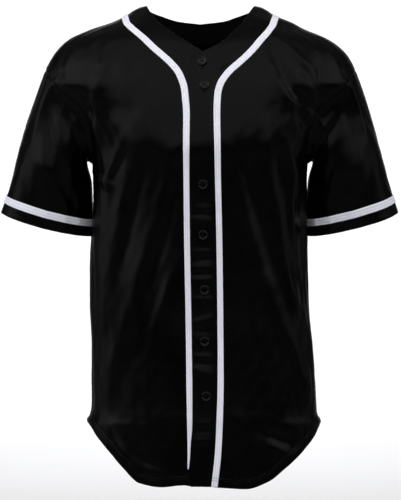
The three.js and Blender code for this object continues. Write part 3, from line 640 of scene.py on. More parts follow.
def band(name, route, thickness, columns, folds=()):
    """Folded band as one loft. route gives its seam and free edge down its length, and its lift."""
    start, end, lift = route
    section = band_section(thickness, columns)
    width = band_width(start, end)[:, None]
    share = section[None, :, 0] - section[None, :, 1] / width
    points, normals = band_face(start, end, lift, share, folds)
    down = run_lengths(points, 0)
    points = points + normals * section[None, :, 2:]
    uv = tuple(np.concatenate([part, part[:1]]) for part in ((share * width).T, down.T))
    return grid_object(name, points.transpose(1, 0, 2), closed=True, caps=True, uv=uv)


def front_band_route(edges, share):
    """Seam, free edge and lift of a front's band at shares of its length."""
    rows = stations(edges, share)
    start = (angle_at(rows[:, 0], rows[:, 1]), rows[:, 1])
    end = (angle_at(rows[:, 2], rows[:, 3]), rows[:, 3])
    return start, end, rows[:, 4]


def back_band_route():
    """The same for the back neck band."""
    share = np.linspace(0, 1, 120)
    return back_neck_path(2, share), back_neck_path(0, share), np.zeros(len(share))


def braid_section():
    """Loop round the braid: share across from -1 to 1, and height, with three soft ribs."""
    across = np.linspace(-1, 1, 19)
    ribs = BRAID_TOP - 0.42 * np.abs(np.sin(1.5 * np.pi * across)) ** 6 - 0.35 * np.abs(across) ** 10
    return np.array(list(zip(across, ribs)) + [(share, BRAID_BASE) for share in (1, 0.5, -0.5, -1)])


def braid_line(angle, z, share, before, after):
    """Points and normals of the line at a share across a braid, from -1 to 1."""
    return cloth(*beside(angle, z, share * (after if share > 0 else before)), SEAM_FINE)


def braid_object(name, points, section, caps):
    across = np.r_[section[:, 0], section[:1, 0]] * BRAID_WIDTH / 2
    down = run_lengths(points, 1)
    down = np.concatenate([down, down[:1]])
    uv = (np.broadcast_to(across[:, None], down.shape), down)
    return grid_object(name, points, closed=True, caps=caps, uv=uv)


def braid(name, angle, z, before, after):
    """Braid along a path on the body: its reach to each side may change on the way."""
    section = braid_section()
    lines = []
    for share, height in section:
        points, normals = braid_line(angle, z, share, before, after)
        lines.append(points + normals * height)
    return braid_object(name, np.stack(lines), section, True)


def front_braid_route(edges, sign, key, share):
    """Braided seam of a front as angles and heights, and the braid's reach to -1 and 1 across it."""
    angle, z = seam_path(edges, share)
    past_hem = 0.6
    drop = hem_height(angle, key) + past_hem - seam_path(edges, np.array([BRAID_END]))[1]
    z = z + drop * smooth(share, 0.97, 1)
    half = np.full(len(z), BRAID_WIDTH / 2)
    drawn_in = BRAID_DRAWN_IN * smooth(-z, 140, 290) * (1 - 0.5 * smooth(-z, 520, 640))
    if sign > 0:
        return angle, z, half - 0.75 * drawn_in, half - 0.25 * drawn_in
    free = through(LEFT_EDGES[:, 3], LEFT_EDGES[:, 2])(z)
    seam = through(RIGHT_EDGES[:, 1], RIGHT_EDGES[:, 0])(z)
    return angle, z, half - drawn_in, np.minimum(half, free - seam - BRAID_CLEAR)


def front_braid_shown(edges, sign, key, least):
    """Route of a front's braid as far as it is wider than least."""
    route = front_braid_route(edges, sign, key, BRAID_SHARES)
    shown = route[2] + route[3] > least
    return [part[shown] for part in route]


def armhole_ring(sign, count):
    """Armhole all round as angles and heights: down the front, then up the back."""
    share = np.linspace(0, 1, count // 2 + 1)
    front, back = armhole_path(sign, False, share), armhole_path(sign, True, share)
    return tuple(np.concatenate([ahead, behind[1:-1][::-1]]) for ahead, behind in zip(front, back))


def sleeve_section(sign, level, turn):
    """Smooth slanted oval of a sleeve at a level between the armhole and the cuff."""
    found = {key: curve(level) for key, curve in SECTION.items()}
    slant, lower = np.radians(found["slant"]), np.tan(np.radians(found["pitch"]))
    outward = found["outward"] * np.cos(turn)
    forward = -found["deep"] * np.sin(turn)
    x = sign * (found["x"] + outward * np.cos(slant)) - (RIGHT_SLEEVE_SHIFT if sign < 0 else 0)
    return np.stack([x, found["y"] + forward, found["z"] + outward * np.sin(slant) + forward * lower], -1)


def sleeve_surface(sign, folds, levels):
    """Points and normals of a sleeve, [round, level], from the armhole to the cuff."""
    count = SLEEVE_COLUMNS
    angle, z = armhole_ring(sign, count)
    seam, seam_normal = cloth(angle, z)
    along = np.roll(seam, -1, 0) - np.roll(seam, 1, 0)
    away = unit(np.cross(seam_normal, along)) * sign
    turn = 2 * np.pi * np.arange(count) / count
    under = (1 - np.cos(turn)) / 2
    start = away * mix(SLEEVE_START_TOP, SLEEVE_START_UNDER, under)[:, None]
    start[:, 0] += sign * UNDERARM_SPREAD * under**2
    end = sleeve_section(sign, np.full(count, SLEEVE_JOIN), turn)
    step = 0.01
    leave = (sleeve_section(sign, np.full(count, SLEEVE_JOIN + step), turn) - end) * SLEEVE_JOIN / step
    rows = []
    for level in levels:
        if level >= SLEEVE_JOIN:
            rows.append(sleeve_section(sign, np.full(count, level), turn))
        else:
            weights = hermite(level / SLEEVE_JOIN)
            rows.append(sum(weight * part for weight, part in zip(weights, (seam, start, end, leave))))
    points = np.stack(rows, 1)
    around = np.roll(points, -1, 0) - np.roll(points, 1, 0)
    down = np.gradient(points, axis=1)
    normals = unit(np.cross(around, down)) * sign
    normals[:, 0] = seam_normal
    facing = -np.sin(turn)[:, None] * np.ones(len(levels))
    held = smooth(np.abs(facing), 0, 0.4) * smooth(np.asarray(levels), 0, 0.15)[None, :]
    x, z = np.abs(points[..., 0]), points[..., 2]
    height = np.zeros(x.shape)
    for side in (-1, 1):
        own = [fold[:7] for fold in folds if fold[7] == side]
        height += np.where(side * facing > 0, fold_height(own, x, z), 0) * held
    soft = smooth(np.asarray(levels), 0.02, 0.25)[None, :]
    round_x = np.sin(turn)[:, None] * 90 + x
    height += soft * (0.8 * ripples(round_x, z, 40 + sign, 44) + 0.3 * ripples(round_x, z, 43 + sign, 17, 1.6))
    return points + normals * height[..., None], normals


def sleeve_grid(sign, folds):
    """Surface of a sleeve with its seam and hem: points, normals and distance from the cuff."""
    near_seam, near_cuff = (0, 0.004, 0.008, 0.014, 0.022, 0.032), (0.945, 0.96, 0.975, 0.99, 1)
    points, normals = sleeve_surface(sign, folds, np.r_[near_seam, np.linspace(0.045, 0.93, 66), near_cuff])
    down = run_lengths(points, 1)
    across = run_lengths(np.concatenate([points, points[:1]]), 0)
    height = seam_relief(down, across[:-1], 50 + sign, 0.9, 0.5)
    from_cuff = down[:, -1:] - down
    height += 0.35 * smooth(-from_cuff, -11, -CUFF_ROW) - 0.4 * bell(from_cuff - CUFF_ROW, 1.1)
    return points + normals * height[..., None], normals, from_cuff


def sleeve(name, sign, folds):
    """Sleeve whose first row is tucked under the armhole's edge."""
    points, normals, _ = sleeve_grid(sign, folds)
    tuck = points[:, 0] - unit(points[:, 2] - points[:, 0]) * 4 - normals[:, 0] * 1.2
    points = np.concatenate([tuck[:, None], points], 1)
    normals = np.concatenate([normals[:, :1], normals], 1)
    return grid_object(name, points, normals, closed=True)


def sleeve_lines(sign, folds, shares):
    """Points and normals round a sleeve at shares across its braid, which grow from -1 to 1."""
    levels = mix(*BRAID_LEVELS, (np.asarray(shares) + 1) / 2)
    points, normals = sleeve_surface(sign, folds, np.r_[0, 0.4, levels, 1])
    return points[:, 2:-1], normals[:, 2:-1]


def sleeve_braid(name, sign, folds):
    """Braid round a sleeve, above its hem."""
    section = braid_section()
    order = np.argsort(section[:, 0], kind="stable")
    points, normals = sleeve_lines(sign, folds, section[order, 0])
    back = np.argsort(order)
    points = points[:, back] + normals[:, back] * section[None, :, 1:2]
    points = np.concatenate([points, points[:1]]).transpose(1, 0, 2)
    return braid_object(name, points, section, False)


def turned_to(normal):
    """Turn that lays +Z along a normal and keeps +Y near the height."""
    z = Vector(normal).normalized()
    x = Vector((0, 0, 1)).cross(z).normalized()
    return Matrix((x, z.cross(x), z)).transposed().to_4x4()


def circle(mesh, place, across, other, radius, sides):
    """Adds a ring of points to a bmesh, in the plane of two directions."""
    angles = [2 * math.pi * i / sides for i in range(sides)]
    return [mesh.verts.new(place + (across * math.cos(a) + other * math.sin(a)) * radius) for a in angles]


def skin(mesh, rings):
    """Adds the faces between rings of a bmesh that follow each other, where an end may be a point."""
    for low, high in zip(rings, rings[1:]):
        sides = max(len(low), len(high))
        for i in range(sides):
            j = (i + 1) % sides
            if len(low) == 1:
                mesh.faces.new((low[0], high[j], high[i]))
            elif len(high) == 1:
                mesh.faces.new((low[i], low[j], high[0]))
            else:
                mesh.faces.new((low[i], low[j], high[j], high[i]))


def lathe(mesh, outline, sides):
    """Adds a closed round body from radii and heights to a bmesh."""
    x, y = Vector((1, 0, 0)), Vector((0, 1, 0))
    rings = []
    for radius, height in outline:
        middle = Vector((0, 0, height))
        rings.append(circle(mesh, middle, x, y, radius, sides) if radius else [mesh.verts.new(middle)])
    skin(mesh, rings)


def strand(mesh, route, radius, sides=6):
    """Adds a thread of round section along a route to a bmesh, closed at both ends."""
    route = [Vector(point) for point in route]
    rings = []
    for i, point in enumerate(route):
        ahead = (route[min(i + 1, len(route) - 1)] - route[max(i - 1, 0)]).normalized()
        side = ahead.orthogonal().normalized() if i == 0 else (side - ahead * side.dot(ahead)).normalized()
        rings.append(circle(mesh, point, side, ahead.cross(side), radius, sides))
    skin(mesh, rings)
    mesh.faces.new(reversed(rings[0]))
    mesh.faces.new(rings[-1])


def applied_mesh(piece, name):
    """Plain mesh of an object with its modifiers worked in."""
    found = bpy.context.evaluated_depsgraph_get()
    mesh = bpy.data.meshes.new_from_object(piece.evaluated_get(found), depsgraph=found)
    mesh.name = name
    return mesh


def new_object(name, data):
    """New object in the scene for a mesh, a light or a camera."""
    piece = bpy.data.objects.new(name, data)
    bpy.context.scene.collection.objects.link(piece)
    return piece


def mesh_from(name, build):
    """Mesh filled in by a function that takes a bmesh, with its normals turned outwards."""
    made = bmesh.new()
    build(made)
    bmesh.ops.recalc_face_normals(made, faces=made.faces)
    mesh = bpy.data.meshes.new(name)
    made.to_mesh(mesh)
    made.free()
    return mesh


def button_mesh(radius):
    """Four-hole button with a rolled rim and a dished face, its back at 0 and its face up."""
    height, rim, corner = BUTTON_HEIGHT * MM, 2.1 * MM, 1.1 * MM
    turn = np.linspace(0, np.pi / 2, 5)
    over_rim = list(turn) + [np.pi / 2 + a for a in turn[1:-1]]
    roll = rim / 2
    outline = [(0, 0), (radius - corner, 0)]
    outline += [(radius - corner * (1 - math.sin(a)), corner * (1 - math.cos(a))) for a in turn[1:]]
    outline += [(radius - roll * (1 - math.cos(a)), height - roll * (1 - math.sin(a))) for a in over_rim]
    dish = height - BUTTON_DISH * MM
    outline += [(radius - rim - 0.5 * MM, dish + 0.15 * MM), (radius * 0.45, dish), (0, dish)]
    button = new_object("button_blank", mesh_from("button_blank", lambda made: lathe(made, outline, 56)))
    hole = 0.95 * MM
    places = [(x * HOLE_PLACE * MM, y * HOLE_PLACE * MM, 0) for x in (-1, 1) for y in (-1, 1)]

    def drills(made):
        for place in places:
            start = len(made.verts)
            lathe(made, [(0, -MM), (hole, -MM), (hole, height + MM), (0, height + MM)], 14)
            made.verts.ensure_lookup_table()
            bmesh.ops.translate(made, verts=made.verts[start:], vec=place)

    cutter = new_object("button_drills", mesh_from("button_drills", drills))
    cut = button.modifiers.new("Holes", "BOOLEAN")
    cut.operation = "DIFFERENCE"
    cut.solver = "EXACT"
    cut.object = cutter
    mesh = applied_mesh(button, "button")
    for spare in (button, cutter):
        bpy.data.objects.remove(spare)
    return mesh


def button_threads(mesh):
    """Adds the threads through the four holes: two bars of three strands each."""
    face = BUTTON_HEIGHT - BUTTON_DISH
    for x in (-HOLE_PLACE, HOLE_PLACE):
        for k in (-1, 0, 1):
            rise = 1.05 - 0.1 * abs(k)
            route = [
                Vector((x + 0.42 * k, HOLE_PLACE * math.cos(a), face - 0.5 + rise * math.sin(a))) * MM
                for a in np.linspace(-0.3, np.pi + 0.3, 11)
            ]
            strand(mesh, route, 0.24 * MM)


def add_stitch_tree(name, material):
    """Geometry Nodes that lay small round stitches along every line of a mesh of paths."""
    tree = bpy.data.node_groups.new(name, "GeometryNodeTree")
    sockets = {"Paths": "Geometry", "Pitch": "Float", "Length": "Float", "Width": "Float", "Height": "Float",
               "Seed": "Int"}
    for key, kind in sockets.items():
        tree.interface.new_socket(key, in_out="INPUT", socket_type=f"NodeSocket{kind}")
    tree.interface.new_socket("Stitches", in_out="OUTPUT", socket_type="NodeSocketGeometry")

    def node(kind, inputs=None, **settings):
        made = tree.nodes.new(kind)
        for key, value in settings.items():
            setattr(made, key, value)
        for key, value in (inputs or {}).items():
            made.inputs[key].default_value = value
        return made

    entry, leave = node("NodeGroupInput"), node("NodeGroupOutput")
    curve = node("GeometryNodeMeshToCurve")
    spaced = node("GeometryNodeResampleCurve", mode="LENGTH")
    tangent = node("GeometryNodeInputTangent")
    outward = node("GeometryNodeInputNamedAttribute", {"Name": "outward"}, data_type="FLOAT_VECTOR")
    turn = node("FunctionNodeAxesToRotation", primary_axis="X", secondary_axis="Z")
    bead = node("GeometryNodeMeshUVSphere", {"Segments": 7, "Rings": 5, "Radius": 0.5})
    size = node("ShaderNodeCombineXYZ")
    shaped = node("GeometryNodeTransform")
    uneven = node("FunctionNodeRandomValue", {2: 0.88, 3: 1.08}, data_type="FLOAT")
    laid = node("GeometryNodeInstanceOnPoints")
    real = node("GeometryNodeRealizeInstances")
    finish = node("GeometryNodeSetMaterial", {"Material": material})
    for source, output, target, socket in (
        (entry, "Paths", curve, "Mesh"), (curve, "Curve", spaced, "Curve"), (entry, "Pitch", spaced, "Length"),
        (tangent, "Tangent", turn, "Primary Axis"), (outward, "Attribute", turn, "Secondary Axis"),
        (entry, "Length", size, "X"), (entry, "Width", size, "Y"), (entry, "Height", size, "Z"),
        (bead, "Mesh", shaped, "Geometry"), (size, "Vector", shaped, "Scale"), (entry, "Seed", uneven, "Seed"),
        (spaced, "Curve", laid, "Points"), (shaped, "Geometry", laid, "Instance"),
        (turn, "Rotation", laid, "Rotation"), (uneven, 1, laid, "Scale"),
        (laid, "Instances", real, "Geometry"), (real, "Geometry", finish, "Geometry"),
        (finish, "Geometry", leave, "Stitches"),
    ):
        tree.links.new(source.outputs[output], target.inputs[socket])
    return tree


def stitch_object(name, paths, material, pitch, size, seed):
    """Plain mesh of stitches along paths, each a pair of points and outward normals in millimetres."""
    points, normals, edges = [], [], []
    for line, outward in paths:
        start = len(points)
        points += (line * MM).tolist()
        normals += outward.tolist()
        edges += [(start + i, start + i + 1) for i in range(len(line) - 1)]
    mesh = bpy.data.meshes.new(name)
    mesh.from_pydata(points, edges, [])
    layer = mesh.attributes.new("outward", "FLOAT_VECTOR", "POINT")
    layer.data.foreach_set("vector", np.array(normals).ravel())
    path = new_object(name + "_paths", mesh)
    tree = add_stitch_tree(name + "_tree", material)
    modifier = path.modifiers.new("Stitches", "NODES")
    modifier.node_group = tree
    values = {key: value * MM for key, value in zip(("Pitch", "Length", "Width", "Height"), (pitch, *size))}
    values["Seed"] = seed
    for item in tree.interface.items_tree:
        if item.in_out == "INPUT" and item.name in values:
            modifier[item.identifier] = values[item.name]
    result = applied_mesh(path, name)
    bpy.data.objects.remove(path)
    result.shade_smooth()
    return new_object(name, result)


def line_at(points, normals, distance, wanted):
    """Line across a grid where a distance that grows along its second axis reaches a wanted value."""
    line, outward = [], []
    for place, normal, reached in zip(points, normals, distance):
        if not reached[0] <= wanted <= reached[-1]:
            continue
        at = np.interp(wanted, reached, np.arange(len(reached)))
        low = min(int(at), len(reached) - 2)
        share = at - low
        up = unit(mix(normal[low], normal[low + 1], share))
        line.append(mix(place[low], place[low + 1], share) + up * STITCH_LIFT)
        outward.append(up)
    return np.array(line), np.array(outward)


def front_hem_rows(edges, sign, key, folds):
    """Both hem rows of a front: over its band, its braid and its panel."""
    points, normals, above, across, _ = front_grid(edges, sign, key)
    lengths = np.linspace(0.9, 1, 200)
    heights = seam_path(edges, lengths)[1]
    over_panel = slice(int(np.searchsorted(across[:, 0], BRAID_WIDTH / 2 + 1)), None)
    paths = []
    for depth in HEM_ROWS:
        at = np.interp(heights[-1] + depth, heights[::-1], lengths[::-1])
        near = np.linspace(at - 0.001, at + 0.001, 3)
        columns = np.broadcast_to(np.linspace(0.98, 0.14, 12), (3, 12))
        face, up = band_face(*front_band_route(edges, near), columns, folds)
        paths.append((face[1] + up[1] * STITCH_LIFT, up[1]))
        angle, z, before, after = front_braid_route(edges, sign, key, near)
        line = []
        for share in np.linspace(1, -1, 9):
            place, normal = braid_line(angle, z, share, before, after)
            line.append((place[1] + normal[1] * (BRAID_TOP + STITCH_LIFT), normal[1]))
        paths.append(tuple(np.array(part) for part in zip(*line)))
        paths.append(line_at(points[over_panel], normals[over_panel], above[over_panel], depth))
    return paths


def band_row(route, folds=()):
    """Stitch row down a band, beside its free edge."""
    start, end, lift = route
    face, up = band_face(start, end, lift, (1 - BAND_ROW / band_width(start, end))[:, None], folds)
    return face[:, 0] + up[:, 0] * STITCH_LIFT, up[:, 0]


def braid_rows(angle, z, before, after):
    """The two stitch rows that hold a braid on the body, in its channels."""
    lines = [braid_line(angle, z, share, before, after) for share in CHANNELS]
    return [(points + normals * CHANNEL_HEIGHT, normals) for points, normals in lines]


def ring_of(line, up):
    return np.concatenate([line, line[:1]]), np.concatenate([up, up[:1]])


def sleeve_braid_rows(sign, folds):
    """The two stitch rows that hold a sleeve's braid, in its channels."""
    points, normals = sleeve_lines(sign, folds, CHANNELS)
    return [ring_of(points[:, k] + normals[:, k] * CHANNEL_HEIGHT, normals[:, k]) for k in (0, 1)]


def cuff_row(sign, folds):
    """Closed stitch row round a sleeve, above its cuff."""
    points, normals, from_cuff = (grid[:, ::-1] for grid in sleeve_grid(sign, folds))
    return ring_of(*line_at(points, normals, from_cuff, CUFF_ROW))


def armhole_rows(sign, edges, key):
    """Stitch rows beside the armhole, on the front and on the back."""
    found = []
    grids = (front_grid(edges, sign, key), True, FRONT_GRID[1]), (back_grid(), sign < 0, BACK_GRID[1])
    for (points, normals, _, across, _), turned, count in grids:
        if turned:
            points, normals, across = points[::-1], normals[::-1], (across[-1] - across)[::-1]
        rows = np.flatnonzero(hem_shares(count) > ABOVE_UNDERARM)
        points, normals = (grid.transpose(1, 0, 2)[rows] for grid in (points, normals))
        found.append(line_at(points, normals, across.T[rows], ARMHOLE_ROW))
    return found


def buttonhole(x, z):
    """Oval path round a buttonhole, which runs down from just above its button."""
    turn = np.linspace(0, 2 * np.pi, 41)
    around_x = x + 1.1 * np.cos(turn)
    around_z = z - 3.0 + 9.2 * np.sign(np.sin(turn)) * np.abs(np.sin(turn)) ** 0.6
    points, normals = cloth(angle_at(around_x, around_z), around_z, SEAM_FINE)
    height = PLACKET_LIFT + fold_height(PLACKET_FOLDS, points[:, 0], points[:, 2]) + 0.05
    return points + normals * height[:, None], normals


class Value:
    """A socket of a material. Sums on values add the nodes that work them out."""

    def __init__(self, tree, socket=None):
        self.tree = tree
        self.socket = socket

    def node(self, kind, settings=None, sockets=None, output=0):
        """Adds a node: its settings first, then a number or a link for each of its sockets."""
        made = self.tree.nodes.new(kind)
        for key, value in (settings or {}).items():
            setattr(made, key, value)
        for key, value in (sockets or {}).items():
            if isinstance(value, Value):
                self.tree.links.new(value.socket, made.inputs[key])
            else:
                made.inputs[key].default_value = value
        return Value(self.tree, made.outputs[output])

    def maths(self, operation, *values):
        return self.node("ShaderNodeMath", {"operation": operation}, dict(enumerate(values)))

    def __add__(self, other):
        return self.maths("ADD", self, other)

    __radd__ = __add__

    def __mul__(self, other):
        return self.maths("MULTIPLY", self, other)

    __rmul__ = __mul__

    def __pow__(self, other):
        return self.maths("POWER", self, other)

    def sine(self):
        return self.maths("SINE", self)

    def size(self):
        return self.maths("ABSOLUTE", self)

    def place(self):
        """Coordinates on the object, in metres."""
        return self.node("ShaderNodeTexCoord", None, None, 3)

    def part(self, axis):
        return self.node("ShaderNodeSeparateXYZ", None, {0: self}, axis)

    def between(self, low, high):
        """Soft step from 0 at low to 1 at high."""
        settings = {"interpolation_type": "SMOOTHSTEP"}
        return self.node("ShaderNodeMapRange", settings, {"Value": self, "From Min": low, "From Max": high})

    def noise(self, scale, detail=2.0, roughness=0.5):
        return self.node("ShaderNodeTexNoise", None, {
            "Vector": self, "Scale": scale, "Detail": detail, "Roughness": roughness,
        })

    def mix_colour(self, low, high):
        """Colour from low to high by this value."""
        settings = {"data_type": "RGBA", "blend_type": "MIX"}
        return self.node("ShaderNodeMix", settings, {0: self, 6: low, 7: high}, 2)

    def bump(self, strength, distance, under=None):
        sockets = {"Strength": strength, "Distance": distance, "Height": self}
        if under is not None:
            sockets["Normal"] = under
        return self.node("ShaderNodeBump", None, sockets)


def start_material(name):
    """New material with one shader, as the start of its values and the shader's sockets."""
    material = bpy.data.materials.new(name)
    material.use_nodes = True
    tree = material.node_tree
    tree.nodes.clear()
    shader = tree.nodes.new("ShaderNodeBsdfPrincipled")
    output = tree.nodes.new("ShaderNodeOutputMaterial")
    tree.links.new(shader.outputs[0], output.inputs[0])
    return material, Value(tree), shader


def set_shader(start, shader, **values):
    """Sets or links the shader's sockets, whose names are given with _ for a space."""
    for key, value in values.items():
        entry = shader.inputs[key.replace("_", " ")]
        if isinstance(value, Value):
            start.tree.links.new(value.socket, entry)
        else:
            entry.default_value = value


def tone(colour, share):
    """Colour made darker or lighter, as red, green, blue and alpha."""
    return tuple(part * share for part in colour) + (1.0,)


def cloth_material(settings):
    """Black satin warp knit: fine wales down each piece, faint wear and uneven gloss."""
    material, start, shader = start_material("black_warp_knit")
    place = start.place()
    flat = start.node("ShaderNodeUVMap", {"uv_map": "Cloth"})
    u, v = flat.part(0), flat.part(1)
    wale = (u * (math.pi / settings.wale)).sine().size() ** 0.7
    loop = (v * (2 * math.pi / (settings.wale * 1.1)) + wale * 2.2).sine()
    knit = wale + loop * 0.22
    soft = place.noise(9, 3)
    fine = place.noise(70, 3, 0.6)
    crinkle = place.noise(55, 2, 0.45)
    patchy = (soft * 0.7 + fine * 0.3).between(0.3, 0.7)
    colour = patchy.mix_colour(tone(settings.colour, 0.8), tone(settings.colour, 1.25))
    normal = knit.bump(0.14, 0.0002, crinkle.bump(0.12, 0.0012))
    set_shader(
        start, shader, Base_Color=colour, Roughness=settings.roughness - 0.05 + patchy * 0.1 + fine * 0.06,
        Specular_IOR_Level=settings.gloss, Normal=normal,
    )
    return material


def braid_material(settings):
    """White knitted braid with two sewn channels and slanted stitches; shade is painted into its colour in the
    channels and along both edges.
    """
    material, start, shader = start_material("white_knit_braid")
    place = start.place()
    flat = start.node("ShaderNodeUVMap", {"uv_map": "Cloth"})
    across, along = flat.part(0), flat.part(1)
    half = BRAID_WIDTH * MM / 2
    # Painted shade mask: 1 in the two sewn channels and at both edges, where the braid dips.
    channel_shade = (across * (1.5 * math.pi / half)).sine().size() ** 6
    rib = (across * (5 * math.pi / half)).sine().size()
    slant = ((along + across.size() * 0.7) * (2 * math.pi / 0.0016)).sine()
    soft = place.noise(40, 2)
    fine = place.noise(420, 2, 0.6)
    # Painted shade: this darkens the colour in the two sewn channels and at both edges, where the braid dips.
    # Only its noise part is uneven tone.
    worn = (channel_shade * 0.75 + fine * 0.35 + soft * 0.2).between(0.35, 1.1)
    colour = worn.mix_colour(tone(settings.colour, 1.0), tone(settings.colour, 0.78))
    normal = (rib + slant * 0.5).bump(0.5, 0.0003, fine.bump(0.3, 0.0003))
    set_shader(
        start, shader, Base_Color=colour, Roughness=0.72 + fine * 0.15, Specular_IOR_Level=0.35,
        Sheen_Weight=0.15, Sheen_Roughness=0.5, Normal=normal,
    )
    return material


def button_material(settings):
    """Black moulded plastic, half gloss, faintly scuffed."""
    material, start, shader = start_material("black_button_plastic")
    place = start.place()
    scuff = place.noise(900, 3, 0.7)
    cloudy = place.noise(120, 2)
    marks = scuff.between(0.52, 0.75)
    colour = marks.mix_colour(tone(settings.colour, 1.0), tone(settings.colour, 2.2))
    set_shader(
        start, shader, Base_Color=colour, Roughness=0.1 + marks * 0.12 + cloudy * 0.06,
        Specular_IOR_Level=0.14, Normal=scuff.bump(0.12, 0.0001),
    )
    return material


def thread_material(name, colour, gloss):
    """Twisted polyester thread, a little uneven in tone."""
    material, start, shader = start_material(name)
    place = start.place()
    strand_tone = place.noise(600, 2, 0.6)
    mixed = strand_tone.between(0.35, 0.65).mix_colour(tone(colour, 0.75), tone(colour, 1.2))
    set_shader(
        start, shader, Base_Color=mixed, Roughness=0.5 + strand_tone * 0.2, Specular_IOR_Level=gloss,
        Normal=strand_tone.bump(0.3, 0.00015),
    )
    return material


def material_of(name, make, *values):
    """Material by name, made at its first use."""
    return bpy.data.materials.get(name) or make(*values)


def black_knit(scene):
    return material_of("black_warp_knit", cloth_material, scene.jersey_cloth)


def white_braid(scene):
    return material_of("white_knit_braid", braid_material, scene.jersey_braid)


def black_thread(scene):
    return material_of("black_thread", thread_material, "black_thread", scene.jersey_stitches.colour, 0.05)


def white_thread(scene):
    return material_of("white_thread", thread_material, "white_thread", scene.jersey_braid.colour, 0.3)


def finish_piece(piece, material, slot, *nodes):
    """Gives a piece its material and the body that it rides on, and hides the imported parts of the nodes that
    it stands for. slot is not used.
    """
    if material is not None:
        piece.data.materials.append(material)
    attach(piece, "root")
    if nodes:
        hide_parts(*nodes)


def length_setting(name, text, default, low, high):
    return bpy.props.FloatProperty(
        name=name, description=text, default=default, min=low, max=high, unit="LENGTH", precision=4,
    )


def share_setting(name, text, default):
    return bpy.props.FloatProperty(name=name, description=text, default=default, min=0, max=1, subtype="FACTOR")


def colour_setting(text, default):
    return bpy.props.FloatVectorProperty(
        name="Colour", description=text, default=default, min=0, max=1, subtype="COLOR",
    )


class JerseyClothSettings(bpy.types.PropertyGroup):
    """The black knit of the jersey."""

    thickness: length_setting("Thickness", "Thickness of one layer of the knit", 0.0009, 0.0003, 0.003)
    band: length_setting("Band thickness", "Thickness of a folded band of two layers", 0.0019, 0.001, 0.004)
    wale: length_setting("Wale", "Width of one column of stitches in the knit", 0.0011, 0.0005, 0.004)
    colour: colour_setting("Base colour of the knit", (0.0006, 0.0008, 0.0006))
    roughness: share_setting("Roughness", "Middle roughness of the knit", 0.255)
    gloss: share_setting("Gloss", "Specular level of the knit", 0.06)


class JerseyBraidSettings(bpy.types.PropertyGroup):
    """The white braid over the front and neck seams and round the sleeves."""

    colour: colour_setting("Base colour of the braid", (0.75, 0.75, 0.83))
    pitch: length_setting("Stitch pitch", "Distance between the stitches of the braid", 0.0027, 0.001, 0.01)


class JerseyButtonSettings(bpy.types.PropertyGroup):
    """The buttons down the front."""

    radius: length_setting("Radius", "Radius of a button", BUTTON_RADIUS * MM, 0.004, 0.015)
    colour: colour_setting("Base colour of a button", (0.0018, 0.0018, 0.002))


class JerseyStitchSettings(bpy.types.PropertyGroup):
    """The stitch rows of the hems, the bands and the armholes."""

    pitch: length_setting("Pitch", "Distance from one stitch to the next", 0.003, 0.001, 0.01)
    width: length_setting("Width", "Thickness of the thread", 0.00065, 0.0002, 0.002)
    colour: colour_setting("Base colour of the thread", (0.0016, 0.0017, 0.0016))


class JERSEY_OT_fronts(bpy.types.Operator):
    """Builds both fronts from the braided seams to the side seams"""

    bl_idname = "jersey.fronts"
    bl_label = "Fronts"

    def execute(self, context):
        for side, sign, edges, _, _ in SIDES:
            piece = panel(f"{side}_front", front_grid(edges, sign, side))
            thicken(piece, context.scene.jersey_cloth.thickness)
            finish_piece(piece, black_knit(context.scene), "cloth", f"front_panel_{side}")
        return {"FINISHED"}


class JERSEY_OT_back(bpy.types.Operator):
    """Builds the back in one piece"""

    bl_idname = "jersey.back"
    bl_label = "Back"

    def execute(self, context):
        piece = panel("back", back_grid())
        thicken(piece, context.scene.jersey_cloth.thickness)
        finish_piece(piece, black_knit(context.scene), "cloth", "back_panel")
        return {"FINISHED"}


class JERSEY_OT_sleeves(bpy.types.Operator):
    """Builds both sleeves from the armhole to the hem"""

    bl_idname = "jersey.sleeves"
    bl_label = "Sleeves"

    def execute(self, context):
        for side, sign, _, folds, _ in SIDES:
            piece = sleeve(f"{side}_sleeve", sign, folds)
            thicken(piece, context.scene.jersey_cloth.thickness)
            finish_piece(piece, black_knit(context.scene), "cloth", f"sleeve_{side}")
        return {"FINISHED"}


class JERSEY_OT_bands(bpy.types.Operator):
    """Builds the folded bands of both fronts and of the back neck"""

    bl_idname = "jersey.bands"
    bl_label = "Front and neck bands"

    def execute(self, context):
        thickness = context.scene.jersey_cloth.band / MM
        columns = [0, 0.06, 0.12, 0.16, 0.2, 0.24, 0.28, 0.36, 0.45, 0.54, 0.63, 0.72, 0.8, 0.88]
        for side, _, edges, _, folds in SIDES:
            route = front_band_route(edges, np.linspace(0, 1, 330))
            piece = band(f"{side}_front_band", route, thickness, columns, folds)
            finish_piece(piece, black_knit(context.scene), "cloth", f"front_band_{side}")
        piece = band("neck_band", back_band_route(), thickness, [0, 0.12, 0.25, 0.4, 0.55, 0.7, 0.82])
        finish_piece(piece, black_knit(context.scene), "cloth", "back_neck_band")
        return {"FINISHED"}


